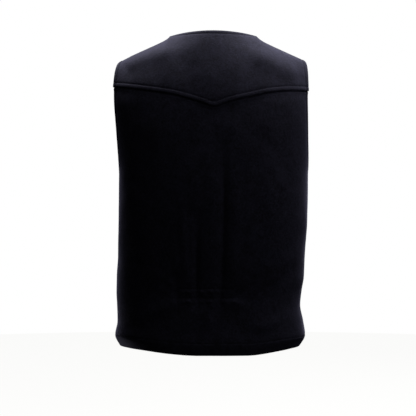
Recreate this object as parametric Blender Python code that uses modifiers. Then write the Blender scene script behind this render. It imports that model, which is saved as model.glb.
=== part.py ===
"""Western vest of heavy wool melton, a men's medium, hollow and rounded as when it is worn.

The origin is on top of the shoulders, midway between the two ends of the back neck edge. +Z is up,
the fronts face -Y and the wearer's left is +X. The tables hold centimetres, as a pattern does, and CM
turns them to metres.

The cloth lies on one form: level sections from the hem up to the shoulder blades, and from there
curved strips up to the neck edge and over the shoulders. Each panel takes its own stretch of that
form, folds bend it, and it is then given the thickness of its cloth.
"""

import math
from collections import namedtuple

import bmesh
import bpy
import numpy as np
from mathutils import Vector

CM = 0.01

# Cloth and seams
CLOTH = 0.24  # heavy melton, about 2.4 mm
SEAM_GAP = 0.03  # between two panels where they are sewn
LAP_GAP = 0.05  # between two panels where one lies on the other
HEM_TURN = 2.5  # cloth turned up inside the hem
HEM_STEP = 0.4  # the wall thins to one layer over this much on each side of the hem's stitching
YOKE_LAP = 1.1  # back body that runs up under the yoke
FRONT_LAP = 1.8  # each front past the centre line
LAP_END = 6.0  # from here to the side the left front no longer lies on the right one

# Levels, below the shoulder's neck end
HEM_LEVEL = -65.9
ARMPIT_LEVEL = -29.0
BLADE_LEVEL = -16.0  # the curved strips over the shoulders start here
TOP_LEVEL = 0.0

# Neck and shoulders
NECK_LEFT, NECK_RIGHT = 9.0, 9.4  # half widths of the neck
NECK_BACK = 7.0  # centre back neck, behind the shoulder line
NECK_ROUND = 1.5  # how fast the neck edge runs forward: 1 is an ellipse
NECK_CREST, NECK_SIDE = 0.2, -0.2  # heights of the centre back neck and of the shoulder's neck end
TIP_LEFT, TIP_RIGHT = 19.75, 19.65  # ends of the shoulders
SHOULDER_SLOPE = 0.46
NECK_RISE, NECK_RISE_RUN = 0.5, 0.7  # the cloth climbs a little beside the neck
NECK_SHARE = 0.40  # of each half of the back's columns, those that end at the neck

# How the curved strips arrive at their upper ends: the leans are degrees from upright, at the centre
# back neck and on the shoulders, and the pulls set how full the curves are
NECK_LEAN, SHOULDER_LEAN = 30.0, 90.0
NECK_PULL = 14.0
SHOULDER_PULL = 2.0  # times the depth of the strip
TIP_TUCK = -2.0  # the strips at the shoulder's tip come in from the side
BACK_TUCK_START, FRONT_TUCK_START = 0.75, 0.55
SLOPE_STEP = 0.5  # the form's slope at the blades is measured over this much below them

# Armholes
BACK_SCOOP, FRONT_SCOOP = 5.2, 5.9  # how far each edge lies behind or before the side seam
FRONT_CUT_IN = 2.2  # the front armhole is also cut towards the chest

# A superellipse of this power: 2 is round, more is squarer
BACK_SQUARE, FRONT_SQUARE = 2.6, 2.3

# Each row is one level section. level is its height at the side seam, left and right are half widths,
# back and front are depths from the side seams, and the dips are how much lower it runs at the centre.
Section = namedtuple("Section", "name level left right back front back_dip front_dip")
SECTIONS = (
    Section("hem edge", HEM_LEVEL, 19.6, 18.6, 11.65, 12.6, 1.1, 0.6),
    Section("hem stitching", -63.6, 20.65, 19.75, 11.8, 12.8, 1.1, 0.6),
    Section("above the hem", -60.8, 20.2, 19.35, 11.5, 12.5, 0.9, 0.4),
    Section("hip", -57.3, 20.3, 18.7, 11.2, 12.3, 0.6, 0.3),
    Section("waist casing", -54.7, 20.45, 18.95, 11.0, 12.2, 0.4, 0.2),
    Section("above the casing", -51.3, 20.4, 19.5, 11.1, 12.2, 0.2, 0.1),
    Section("small of the back", -47.0, 20.1, 19.65, 11.25, 12.3, 0.0, 0.0),
    Section("ribs", -38.5, 20.0, 20.2, 11.5, 12.8, 0.0, 0.0),
    Section("armpit", ARMPIT_LEVEL, 19.9, 20.4, 11.8, 13.3, 0.0, 0.0),
    Section("lower blade", -21.4, 20.25, 20.2, 11.8, 13.2, 0.0, 0.0),
    Section("blade", BLADE_LEVEL, 20.65, 20.1, 11.5, 12.4, 0.0, 0.0),
)

DIP_CENTRE = -3.0  # the sections are lowest a little to the right of the centre
DIP_FLAT = 0.25  # share of the way to the side seam over which they stay that low

# The front edge, from the hem up into the V neck: x at each level, for the left front
FrontEdge = namedtuple("FrontEdge", "level x")
FRONT_EDGE = (
    FrontEdge(HEM_LEVEL, -FRONT_LAP),
    FrontEdge(-28.5, -FRONT_LAP),
    FrontEdge(-25.5, -1.2),
    FrontEdge(-22.0, 0.25),
    FrontEdge(BLADE_LEVEL, 2.7),
)

# The western yoke's edge, which dips from both armholes to one point at the centre of the back
YokeEdge = namedtuple("YokeEdge", "x z")
YOKE_EDGE = (
    YokeEdge(-TIP_RIGHT, -12.35),
    YokeEdge(-16.5, -12.5),
    YokeEdge(-12.9, -12.85),
    YokeEdge(-7.9, -13.9),
    YokeEdge(-5.4, -14.47),
    YokeEdge(-2.9, -15.2),
    YokeEdge(-0.3, -16.0),
    YokeEdge(2.1, -15.25),
    YokeEdge(4.6, -14.45),
    YokeEdge(8.4, -13.45),
    YokeEdge(14.6, -12.45),
    YokeEdge(TIP_LEFT, -11.55),
)
YOKE_LIFT_SHARE = 0.3  # the share of the yoke's height that lies a whole layer further out

# Each row is one soft fold, a curve through three points seen from the back or the front. width is its
# spread to each side, and height is how far it stands out, or sinks in where it is negative.
Fold = namedtuple("Fold", "name x1 z1 x2 z2 x3 z3 width height")
BACK_FOLDS = (
    Fold("left shoulder roll", 18.2, -7.1, 14.2, -5.6, 7.0, -3.9, 1.3, 0.48),
    Fold("right shoulder roll", -18.4, -9.4, -13.2, -7.3, -7.5, -4.2, 1.5, 0.45),
    Fold("long trough", -2.4, -24.5, -2.2, -42.0, -1.3, -61.0, 0.6, -0.46),
    Fold("its right bank", -4.3, -30.0, -4.3, -42.0, -3.8, -53.0, 1.1, 0.32),
    Fold("middle ridge", 0.3, -29.0, 0.3, -38.0, 0.7, -51.5, 0.9, 0.16),
    Fold("left trough", 3.0, -37.5, 3.3, -48.0, 3.3, -57.5, 0.5, -0.36),
    Fold("left ridge", 6.2, -34.5, 5.9, -44.0, 5.5, -53.0, 0.6, 0.26),
    Fold("short trough", 7.6, -49.5, 7.4, -53.5, 7.2, -57.5, 0.5, -0.24),
    Fold("left drape", 14.0, -59.3, 9.6, -57.2, 5.0, -55.9, 0.8, 0.20),
    Fold("right drape", -2.1, -57.0, -4.0, -56.2, -7.5, -57.4, 0.7, 0.16),
    Fold("low drape", -7.4, -61.0, -11.0, -61.0, -14.4, -58.7, 0.8, 0.18),
    Fold("left blade", 15.5, -19.0, 14.0, -27.0, 13.6, -38.0, 1.8, -0.18),
    Fold("right blade", -16.0, -19.0, -14.8, -28.0, -14.0, -40.0, 1.8, -0.20),
    Fold("right waist", -17.0, -48.0, -14.0, -52.0, -9.0, -54.5, 1.1, -0.16),
)
FRONT_FOLDS = (
    Fold("left chest", 16.5, -27.0, 12.5, -33.0, 9.5, -42.0, 1.5, -0.24),
    Fold("right chest", -16.0, -28.0, -12.8, -35.0, -10.5, -45.0, 1.6, -0.22),
    Fold("left skirt", 10.0, -47.0, 10.8, -56.0, 11.6, -66.5, 1.4, 0.26),
    Fold("right skirt", -9.0, -50.0, -10.2, -58.0, -10.6, -66.5, 1.5, 0.24),
    Fold("left waist", 17.0, -49.0, 12.5, -52.5, 6.5, -53.5, 1.1, -0.18),
    Fold("right waist", -17.0, -50.0, -13.0, -54.0, -7.0, -55.5, 1.1, -0.18),
)
FOLD_FADE = 2.5  # folds die away over this distance from a seam or an edge
FOLD_ENDS = ((-0.1, 0.3), (1.1, 0.7))  # each fold swells over these shares of its length

# The elastic casing gathers the back between these places
CASING_LEFT, CASING_RIGHT = 6.5, -3.9
CASING_TOP, CASING_FOOT = -53.3, -56.4
GATHER_PITCH, GATHER_HEIGHT = 1.3, 0.11
GATHER_WANDER, GATHER_DRIFT = 0.18, 2.1  # how far the gathers stray from an even pitch, and how often
CASING_FADE = 1.2

# Buttons
BUTTON_TOP, BUTTON_PITCH, BUTTONS = -29.5, 7.7, 5
# The turned profile: radius and height, from the centre of the face down to the centre of the underside
BUTTON_PROFILE = (
    (0.0, 0.20), (0.58, 0.20), (0.70, 0.32), (0.90, 0.33),
    (1.0, 0.26), (1.0, 0.10), (0.86, 0.0), (0.0, 0.0),
)  # fmt: skip
BUTTON_STEPS = 16
MERGE = 0.001  # points of the turned shape that are closer than this become one

SHARP_ANGLE = 50.0  # edges that bend more than this many degrees are shaded sharp

# How finely the form is worked out, and where the panels have their columns and rows
Stretch = namedtuple("Stretch", "start end count")
FORM_ROWS = (
    Stretch(HEM_LEVEL, ARMPIT_LEVEL, 148),
    Stretch(ARMPIT_LEVEL, BLADE_LEVEL, 104),
    Stretch(BLADE_LEVEL, TOP_LEVEL, 64),
)
BACK_COLUMNS = (
    Stretch(-1.0, -NECK_SHARE, 9),
    Stretch(-NECK_SHARE, -0.16, 4),
    Stretch(-0.16, 0.34, 22),
    Stretch(0.34, NECK_SHARE, 1),
    Stretch(NECK_SHARE, 1.0, 9),
)
FRONT_COLUMNS = (Stretch(0.0, 1.0, 14),)
LOW_ROWS = (
    Stretch(HEM_LEVEL, HEM_LEVEL + HEM_TURN, 3),
    Stretch(HEM_LEVEL + HEM_TURN, -58.0, 2),
    Stretch(-58.0, -52.5, 6),
    Stretch(-52.5, -45.0, 3),
    Stretch(-45.0, ARMPIT_LEVEL, 5),
    Stretch(ARMPIT_LEVEL, -28.0, 2),
    Stretch(-28.0, BLADE_LEVEL - 2.5, 4),
)
BODY_TOP_ROWS, YOKE_ROWS, FRONT_TOP_ROWS = 3, 7, 9
SECTION_STEPS, FOLD_STEPS = 240, 121

Finish = namedtuple("Finish", "name color roughness metallic")
MELTON = Finish("black wool melton", (0.010, 0.011, 0.014, 1.0), 0.95, 0.0)
HORN = Finish("black horn", (0.012, 0.011, 0.010, 1.0), 0.35, 0.0)


def spaced(stretches):
    """The numbers that run through the stretches, each cut into its count of equal steps."""
    steps = [np.linspace(s.start, s.end, s.count, endpoint=False) for s in stretches]
    return np.append(np.concatenate(steps), stretches[-1].end)


def ramp(start, end, value):
    """Rises smoothly from 0 at start to 1 at end."""
    share = np.clip((value - start) / (end - start), 0.0, 1.0)
    return share * share * (3.0 - 2.0 * share)


def through(knots, values, at):
    """A smooth curve through a table's rows that never swings past them."""
    knots, values = np.asarray(knots, float), np.asarray(values, float)
    run = np.diff(knots)
    slope = np.diff(values) / run
    tangent = np.zeros(len(values))
    tangent[0], tangent[-1] = slope[0], slope[-1]
    before, after = slope[:-1], slope[1:]
    rises = before * after > 0
    heavy, light = 2 * run[1:] + run[:-1], run[1:] + 2 * run[:-1]
    safe_before, safe_after = np.where(rises, before, 1.0), np.where(rises, after, 1.0)
    mean = (heavy + light) / (heavy / safe_before + light / safe_after)
    tangent[1:-1] = np.where(rises, mean, 0.0)
    at = np.clip(at, knots[0], knots[-1])
    cell = np.clip(np.searchsorted(knots, at) - 1, 0, len(run) - 1)
    t = (at - knots[cell]) / run[cell]
    return (
        (1 + 2 * t) * (1 - t) ** 2 * values[cell]
        + t * (1 - t) ** 2 * run[cell] * tangent[cell]
        + t * t * (3 - 2 * t) * values[cell + 1]
        + t * t * (t - 1) * run[cell] * tangent[cell + 1]
    )


FORM_LEVELS = spaced(FORM_ROWS)


def section_value(field, level):
    return through([s.level for s in SECTIONS], [getattr(s, field) for s in SECTIONS], level)


def armhole_share(level):
    """0 at the armpit, 1 at the blades."""
    return np.clip((level - ARMPIT_LEVEL) / (BLADE_LEVEL - ARMPIT_LEVEL), 0.0, 1.0)


def section_curve(level, face):
    """The section at a level, from the right side through the centre to the left side: signed distance
    along it from the centre, its points, and the distances at which the armholes cut it. face is 1 for
    the back and -1 for the fronts."""
    if face > 0:
        name, square, scoop = "back", BACK_SQUARE, BACK_SCOOP
    else:
        name, square, scoop = "front", FRONT_SQUARE, FRONT_SCOOP
    depth, dip = section_value(name, level), section_value(name + "_dip", level)
    share = armhole_share(level)
    edge_y = scoop * math.sqrt(1 - (1 - share) ** 2)
    halves, cuts = [], []
    for side, sign in (("right", -1), ("left", 1)):
        reach = section_value(side, level)
        if face < 0:
            reach = reach - FRONT_CUT_IN * math.sin(math.pi * share * 0.5) ** 2
        width = reach / (1 - (edge_y / depth) ** square) ** (1 / square)
        turn = np.linspace(0.0, 0.5 * np.pi, SECTION_STEPS)
        x = width * np.sin(turn) ** (2 / square)
        y = depth * np.clip(np.cos(turn), 0.0, 1.0) ** (2 / square)
        beside = np.abs(x - sign * DIP_CENTRE) / (width - sign * DIP_CENTRE)
        z = level - dip * (1 - ramp(DIP_FLAT, 1.0, beside))
        seam = np.maximum(y, 0.5 * SEAM_GAP) * face
        halves.append(np.column_stack([sign * x, seam, z]))
        cuts.append(math.asin((reach / width) ** (square / 2)) / (0.5 * math.pi) * (SECTION_STEPS - 1))
    right, left = halves
    points = np.vstack([right[::-1], left[1:]])
    along = np.append(0.0, np.cumsum(np.linalg.norm(np.diff(points, axis=0), axis=1)))
    along -= along[SECTION_STEPS - 1]
    steps = np.arange(len(along)) - (SECTION_STEPS - 1)
    return along, points, np.interp([-cuts[0], cuts[1]], steps, along)


def at_distances(curve, distances):
    return np.column_stack([np.interp(distances, curve[0], curve[1][:, axis]) for axis in range(3)])


def side_shift(share, whole, cut):
    """An armhole draws in the columns beside it, and leaves those near the centre where they are."""
    return (whole - cut) * share**4


def shoulder_height(x, neck):
    run = np.maximum(np.abs(x) - neck, 0.0)
    return NECK_SIDE - SHOULDER_SLOPE * run - NECK_RISE * (1 - np.exp(-run / NECK_RISE_RUN))


def shoulder_line(share, side):
    """Points on the shoulder seam, share 0 at the neck to 1 at the tip, side 1 on the wearer's left."""
    neck, tip = (NECK_LEFT, TIP_LEFT) if side > 0 else (NECK_RIGHT, TIP_RIGHT)
    x = neck + share * (tip - neck)
    return np.column_stack([side * x, np.zeros_like(x), shoulder_height(x, neck)])


def back_row(columns, level):
    curve = section_curve(level, 1)
    along, _, cuts = curve
    whole = np.where(columns < 0, -along[0], along[-1])
    cut = np.where(columns < 0, -cuts[0], cuts[1])
    share = np.abs(columns)
    return at_distances(curve, np.sign(columns) * (share * whole - side_shift(share, whole, cut)))


def back_top(columns):
    """The neck edge and both shoulder seams, and the direction in which the cloth arrives there."""
    share = np.abs(columns)
    on_neck = share <= NECK_SHARE
    turn = 0.5 * np.pi * np.minimum(share / NECK_SHARE, 1.0)
    neck = np.where(columns < 0, NECK_RIGHT, NECK_LEFT)
    height = NECK_SIDE + (NECK_CREST - NECK_SIDE) * np.cos(turn) ** 2
    back = NECK_BACK * np.clip(np.cos(turn), 0.0, 1.0) ** NECK_ROUND
    top = np.column_stack([np.sign(columns) * neck * np.sin(turn), back, height])
    for side in (1, -1):
        here = ~on_neck & (columns * side > 0)
        top[here] = shoulder_line((share[here] - NECK_SHARE) / (1 - NECK_SHARE), side)
    top[:, 1] += 0.5 * SEAM_GAP
    over = ramp(0.0, NECK_SHARE, share)
    lean = np.radians(NECK_LEAN + (SHOULDER_LEAN - NECK_LEAN) * over)
    base = back_row(columns, BLADE_LEVEL)
    pull = NECK_PULL + (SHOULDER_PULL * np.abs(base[:, 1] - top[:, 1]) - NECK_PULL) * over
    tuck = TIP_TUCK * np.sign(columns) * ramp(BACK_TUCK_START, 1.0, share)
    return top, np.column_stack([tuck, -np.sin(lean) * pull, np.cos(lean) * pull])


def front_row(columns, level, side):
    curve = section_curve(level, -1)
    inner = side * through([e.level for e in FRONT_EDGE], [e.x for e in FRONT_EDGE], level)
    along, points, cuts = curve
    start = np.interp(inner, points[:, 0], along)
    whole, cut = (along[-1], cuts[1]) if side > 0 else (along[0], cuts[0])
    return at_distances(curve, start + columns * (whole - start) - side_shift(columns, whole, cut))


def front_top(columns, side):
    top = shoulder_line(columns, side)
    top[:, 1] -= 0.5 * SEAM_GAP
    base = front_row(columns, BLADE_LEVEL, side)
    pull = SHOULDER_PULL * np.abs(base[:, 1] - top[:, 1])
    tuck = TIP_TUCK * side * ramp(FRONT_TUCK_START, 1.0, columns)
    return top, np.column_stack([tuck, pull, 0.0 * pull])


def form(columns, row, top_of):
    """The form under one panel's columns, at every one of FORM_LEVELS."""
    base, below = row(columns, BLADE_LEVEL), row(columns, BLADE_LEVEL - SLOPE_STEP)
    rise = TOP_LEVEL - BLADE_LEVEL
    leave = (base - below) / SLOPE_STEP * rise
    top, arrive = top_of(columns)
    rows = []
    for level in FORM_LEVELS:
        if level <= BLADE_LEVEL:
            rows.append(row(columns, level))
            continue
        t = (level - BLADE_LEVEL) / rise
        rows.append(
            (1 + 2 * t) * (1 - t) ** 2 * base
            + t * (1 - t) ** 2 * leave
            + t * t * (3 - 2 * t) * top
            + t * t * (t - 1) * arrive
        )
    return np.array(rows)


def taken(sheet, levels):
    """The form's points at each column's own levels, one row of the panel for each row of levels."""
    out = np.empty(levels.shape + (3,))
    for column in range(levels.shape[1]):
        for axis in range(3):
            out[:, column, axis] = np.interp(levels[:, column], FORM_LEVELS, sheet[:, column, axis])
    return out


def yoke_levels(sheet, lift):
    """For each column, the level at which the form crosses the yoke's edge, or lies this far above it."""
    found = []
    for column in range(sheet.shape[1]):
        x, z = sheet[:, column, 0], sheet[:, column, 2]
        above = z - lift - through([e.x for e in YOKE_EDGE], [e.z for e in YOKE_EDGE], x)
        cell = int(np.argmax(above > 0))
        part = -above[cell - 1] / (above[cell] - above[cell - 1])
        found.append(FORM_LEVELS[cell - 1] + part * (FORM_LEVELS[cell] - FORM_LEVELS[cell - 1]))
    return np.array(found)


def fold_heights(points, folds, fade):
    """How far the folds move each point out of the form."""
    total = np.zeros(points.shape[:2])
    t = np.linspace(0.0, 1.0, FOLD_STEPS)
    for fold in folds:
        path = [
            (1 - t) * (1 - 2 * t) * a + 4 * t * (1 - t) * b + t * (2 * t - 1) * c
            for a, b, c in ((fold.x1, fold.x2, fold.x3), (fold.z1, fold.z2, fold.z3))
        ]
        away = np.hypot(points[..., 0, None] - path[0], points[..., 2, None] - path[1])
        nearest = t[np.argmin(away, axis=-1)]
        taper = math.prod(ramp(start, end, nearest) for start, end in FOLD_ENDS)
        total += fold.height * taper * np.exp(-0.5 * (away.min(axis=-1) / fold.width) ** 2)
    return total * fade


def gather_heights(points):
    """The small gathers that the elastic draws into the back."""
    x, z = points[..., 0], points[..., 2]
    across = ramp(CASING_RIGHT, CASING_RIGHT + CASING_FADE, x)
    across = across * ramp(CASING_LEFT, CASING_LEFT - CASING_FADE, x)
    along = ramp(CASING_FOOT - CASING_FADE, CASING_FOOT + CASING_FADE, z)
    along = along * ramp(CASING_TOP + CASING_FADE, CASING_TOP - CASING_FADE, z)
    wander = GATHER_WANDER * np.sin(GATHER_DRIFT * x)
    return GATHER_HEIGHT * across * along * np.cos(2 * np.pi * (x / GATHER_PITCH + wander))


def normals_of(points, sewn=None):
    """Outward directions on a grid of points, in the seam's plane where it is sewn to another panel."""
    normal = np.cross(np.gradient(points, axis=1), np.gradient(points, axis=0))
    middle = len(points) // 2
    normal *= np.sign(np.sum(normal[middle, :, 1] * points[middle, :, 1]))
    if sewn is not None:
        normal[..., 1] = np.where(sewn, 0.0, normal[..., 1])
    return normal / np.linalg.norm(normal, axis=-1, keepdims=True)


def edge_fade(points, sides, top):
    """1 inside a panel, 0 at the edges where it is sewn to another."""
    width = np.linalg.norm(np.diff(points, axis=1), axis=-1)
    along = np.concatenate([np.zeros((len(points), 1)), np.cumsum(width, axis=1)], axis=1)
    fade = np.ones(points.shape[:2])
    if "start" in sides:
        fade *= ramp(0.0, FOLD_FADE, along)
    if "end" in sides:
        fade *= ramp(0.0, FOLD_FADE, along[:, -1:] - along)
    if top:
        height = np.linalg.norm(np.diff(points, axis=0), axis=-1)
        up = np.concatenate([np.zeros((1, points.shape[1])), np.cumsum(height, axis=0)])
        fade *= ramp(0.0, FOLD_FADE, up[-1] - up)
    return fade


def cloth_thickness(levels):
    """The hem is turned up inside, so the wall is double there."""
    stitched = HEM_LEVEL + HEM_TURN
    return CLOTH * (2.0 - ramp(stitched - HEM_STEP, stitched + HEM_STEP, levels))


def cloth_panel(name, outer, inner):
    """One closed wall of cloth: a grid for its outer side, extruded to its inner side."""
    rows, columns = outer.shape[:2]
    bm = bmesh.new()
    bmesh.ops.create_grid(bm, x_segments=columns - 1, y_segments=rows - 1, size=0.5)
    made = bmesh.ops.extrude_face_region(bm, geom=bm.faces[:], use_keep_orig=True)
    inside = {item for item in made["geom"] if isinstance(item, bmesh.types.BMVert)}
    for vert in bm.verts:
        row, column = round((vert.co.y + 0.5) * (rows - 1)), round((vert.co.x + 0.5) * (columns - 1))
        vert.co = (inner if vert in inside else outer)[row, column] * CM
    if bm.calc_volume(signed=True) < 0:
        bmesh.ops.reverse_faces(bm, faces=bm.faces)
    return new_object(name, bm, MELTON)


def new_object(name, bm, finish):
    mesh = bpy.data.meshes.new(name)
    bm.to_mesh(mesh)
    bm.free()
    mesh.shade_smooth()
    mesh.set_sharp_from_angle(angle=math.radians(SHARP_ANGLE))
    mesh.materials.append(material(name, finish))
    obj = bpy.data.objects.new(name, mesh)
    vest.objects.link(obj)
    return obj


def material(name, finish):
    made = bpy.data.materials.new(f"{finish.name}, {name}")
    made.use_nodes = True
    shader = made.node_tree.nodes["Principled BSDF"]
    shader.inputs["Base Color"].default_value = finish.color
    shader.inputs["Roughness"].default_value = finish.roughness
    shader.inputs["Metallic"].default_value = finish.metallic
    return made


def back_panels():
    """The back body, and the yoke that lies on its upper edge."""
    columns = spaced(BACK_COLUMNS)
    sheet = form(columns, back_row, back_top)
    low = np.repeat(spaced(LOW_ROWS)[:, None], len(columns), axis=1)
    edge, under = yoke_levels(sheet, 0.0), yoke_levels(sheet, YOKE_LAP)
    climb = np.linspace(0.0, 1.0, BODY_TOP_ROWS + 1)[1:, None]
    levels = np.vstack([low, low[-1] + climb * (edge - low[-1]), under])
    points = taken(sheet, levels)
    fade = edge_fade(points, ("start", "end"), top=False)
    points += normals_of(points) * fold_heights(points, BACK_FOLDS, fade)[..., None]
    normals = normals_of(points, below_armpit(levels) & at_columns(columns, (0, -1)))
    inner = points - normals * cloth_thickness(levels)[..., None]
    cloth_panel("back_body", points + normals * gather_heights(points)[..., None], inner)

    climb = np.linspace(0.0, 1.0, YOKE_ROWS + 1)[:, None]
    levels = np.vstack([edge, under + climb * (TOP_LEVEL - under)])
    share = (levels - edge) / (TOP_LEVEL - edge)
    points = taken(sheet, levels)
    fade = edge_fade(points, ("start", "end"), top=True)
    lift = (CLOTH + LAP_GAP) * (1 - ramp(YOKE_LIFT_SHARE, 1.0, share))
    points += normals_of(points) * (fold_heights(points, BACK_FOLDS, fade) + lift)[..., None]
    normals = normals_of(points, (levels == TOP_LEVEL) & (np.abs(columns) >= NECK_SHARE))
    cloth_panel("back_yoke", points, points - normals * CLOTH)


def below_armpit(levels):
    return levels <= ARMPIT_LEVEL


def at_columns(columns, chosen):
    """True at the chosen columns of each row."""
    mask = np.zeros((1, len(columns)), bool)
    mask[0, list(chosen)] = True
    return mask


def front_panel(name, side):
    """One front, from its centre edge to the side seam and up to the shoulder."""
    columns = spaced(FRONT_COLUMNS)
    sheet = form(columns, lambda c, level: front_row(c, level, side), lambda c: front_top(c, side))
    low = np.repeat(spaced(LOW_ROWS)[:, None], len(columns), axis=1)
    climb = np.linspace(0.0, 1.0, FRONT_TOP_ROWS + 1)[1:, None]
    levels = np.vstack([low, low[-1] + climb * (TOP_LEVEL - low[-1])])
    points = taken(sheet, levels)
    fade = edge_fade(points, ("end",), top=True)
    lift = np.zeros(points.shape[:2])
    if side > 0:
        lift = (cloth_thickness(levels) + LAP_GAP) * (1 - ramp(FRONT_LAP, LAP_END, points[..., 0]))
    points += normals_of(points) * (fold_heights(points, FRONT_FOLDS, fade) + lift)[..., None]
    at_side_seam = below_armpit(levels) & at_columns(columns, (-1,))
    normals = normals_of(points, at_side_seam | (levels == TOP_LEVEL))
    cloth_panel(name, points, points - normals * cloth_thickness(levels)[..., None])
    return points, normals


def button(number, seat, outward):
    """A turned button on the outer side of the left front, its face along outward."""
    bm = bmesh.new()
    ring = [bm.verts.new((radius * CM, 0.0, height * CM)) for radius, height in BUTTON_PROFILE]
    for first, second in zip(ring, ring[1:]):
        bm.edges.new((first, second))
    obj = new_object(f"button_{number}", bm, HORN)
    turn = obj.modifiers.new("Screw", "SCREW")
    turn.axis = "Z"
    turn.steps = turn.render_steps = BUTTON_STEPS
    turn.use_merge_vertices = True
    turn.merge_threshold = MERGE * CM
    obj.location = (Vector(seat) + Vector(outward) * LAP_GAP) * CM
    obj.rotation_euler = Vector(outward).to_track_quat("Z", "Y").to_euler()


def buttons(points, normals):
    """The buttons stand on the centre line of the left front."""
    low = points[points[:, 0, 0] < 0]
    values = np.concatenate([low, normals[: len(low)]], axis=-1)
    line = np.array([[np.interp(0.0, row[:, 0], row[:, axis]) for axis in range(6)] for row in values])
    for number in range(1, BUTTONS + 1):
        height = BUTTON_TOP - (number - 1) * BUTTON_PITCH
        at = [np.interp(height, line[:, 2], line[:, axis]) for axis in range(6)]
        button(number, at[:3], at[3:])


for leftover in list(bpy.data.objects):
    bpy.data.objects.remove(leftover, do_unlink=True)
vest = bpy.data.collections.new("western vest")
bpy.context.scene.collection.children.link(vest)

back_panels()
left_points, left_normals = front_panel("front_left", 1)
front_panel("front_right", -1)
buttons(left_points, left_normals)
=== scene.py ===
# %% [markdown]
# # A western vest of black wool melton
#
# A western vest is a sleeveless jacket whose back has a yoke with a point in the middle. This one is sewn
# from melton, a heavy wool cloth that is fulled, or shrunk and matted, until its weave is hidden under a
# short nap. It is shown from behind, rounded and hollow as when it is worn.
#
# The lesson starts from solids that already have the vest's true size. Each cell makes one thing, from
# the camera to the last thread, and prints what it made.

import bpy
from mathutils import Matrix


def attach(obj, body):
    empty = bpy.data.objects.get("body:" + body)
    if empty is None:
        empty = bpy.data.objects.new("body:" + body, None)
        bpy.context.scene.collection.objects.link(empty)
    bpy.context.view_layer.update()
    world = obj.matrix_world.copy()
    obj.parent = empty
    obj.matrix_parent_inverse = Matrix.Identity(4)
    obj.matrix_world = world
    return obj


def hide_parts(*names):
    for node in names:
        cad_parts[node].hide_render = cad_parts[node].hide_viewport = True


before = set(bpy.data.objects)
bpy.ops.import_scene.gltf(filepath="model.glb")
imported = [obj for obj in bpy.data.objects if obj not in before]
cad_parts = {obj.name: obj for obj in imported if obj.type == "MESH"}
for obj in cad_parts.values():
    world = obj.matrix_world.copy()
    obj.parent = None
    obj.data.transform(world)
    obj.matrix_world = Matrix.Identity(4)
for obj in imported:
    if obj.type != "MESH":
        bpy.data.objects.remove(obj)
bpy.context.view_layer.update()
print("nodes:", sorted(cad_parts))

# %% [markdown]
# ## The camera
#
# The vest is seen straight from behind, from about its middle height. A long lens far away keeps its
# upright edges parallel, as in a product photograph. The camera comes first, because every later choice
# is judged through it.

# %% Place the camera
import math
from collections import namedtuple

import bmesh
import bpy
import numpy as np
from mathutils import Matrix, Vector
from mathutils.kdtree import KDTree

CAMERA_PLACE = (0.0094, 2.515, -0.368)
CAMERA_TURN = (0.5 * math.pi, 0.0, math.pi)  # level, and looking towards the fronts from behind
LENS_MM, SENSOR_MM = 101.8, 36.0

camera_data = bpy.data.cameras.new("camera")
camera_data.lens = LENS_MM
camera_data.sensor_width = SENSOR_MM
camera = bpy.data.objects.new("camera", camera_data)
camera.location = CAMERA_PLACE
camera.rotation_euler = CAMERA_TURN
bpy.context.collection.objects.link(camera)
bpy.context.scene.camera = camera
print("camera", round(camera.location.y, 2), "m behind the shoulders")

# %% [markdown]
# ## Sizes
#
# A pattern maker works in centimetres, so the tables below do too, and CM turns them to Blender's metres.
# Melton is thick: one layer is about 2.4 mm. Every edge is turned in once and stitched, so there it is
# double. Sewn panels meet here, though their solids stay a little apart.

# %% Cloth, seams and levels
CM = 0.01
CLOTH = 0.24
LAP_GAP = 0.05  # between two panels where one lies on the other
HEM_TURN, EDGE_TURN, SEAM_TURN = 2.5, 1.0, 1.2  # cloth turned in at the hem, at an edge and in a seam
HEM_STEP = 0.4  # the wall thins to one layer over this much on each side of the hem's stitching
YOKE_LAP = 1.1  # back body that runs up under the yoke
FRONT_LAP, LAP_END = 1.8, 6.0  # each front past the centre line, and where the left one is down again
HEM_LEVEL, ARMPIT_LEVEL, BLADE_LEVEL, TOP_LEVEL = -65.9, -29.0, -16.0, 0.0
print("one layer", 10 * CLOTH, "mm, hem", 10 * (2 * CLOTH), "mm")

# %% [markdown]
# ## The form under the cloth
#
# All panels lie on one form, so that they meet at their seams. Up to the shoulder blades it is a pile of
# level sections, each a rounded rectangle with its own half widths and depths. This table is the
# garment's true shape, and the solids in the frame use the same numbers.

# %% The sections, from the hem to the shoulder blades
Section = namedtuple("Section", "name level left right back front back_dip front_dip")
SECTIONS = (
    Section("hem edge", HEM_LEVEL, 19.6, 18.6, 11.65, 12.6, 1.1, 0.6),
    Section("hem stitching", -63.6, 20.65, 19.75, 11.8, 12.8, 1.1, 0.6),
    Section("above the hem", -60.8, 20.2, 19.35, 11.5, 12.5, 0.9, 0.4),
    Section("hip", -57.3, 20.3, 18.7, 11.2, 12.3, 0.6, 0.3),
    Section("waist casing", -54.7, 20.45, 18.95, 11.0, 12.2, 0.4, 0.2),
    Section("above the casing", -51.3, 20.4, 19.5, 11.1, 12.2, 0.2, 0.1),
    Section("small of the back", -47.0, 20.1, 19.65, 11.25, 12.3, 0.0, 0.0),
    Section("ribs", -38.5, 20.0, 20.2, 11.5, 12.8, 0.0, 0.0),
    Section("armpit", ARMPIT_LEVEL, 19.9, 20.4, 11.8, 13.3, 0.0, 0.0),
    Section("lower blade", -21.4, 20.25, 20.2, 11.8, 13.2, 0.0, 0.0),
    Section("blade", BLADE_LEVEL, 20.65, 20.1, 11.5, 12.4, 0.0, 0.0),
)
BACK_SQUARE, FRONT_SQUARE = 2.6, 2.3  # 2 is a round section, more is squarer
DIP_CENTRE, DIP_FLAT = -3.0, 0.25  # where a section is lowest, and how far out it stays so
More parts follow.
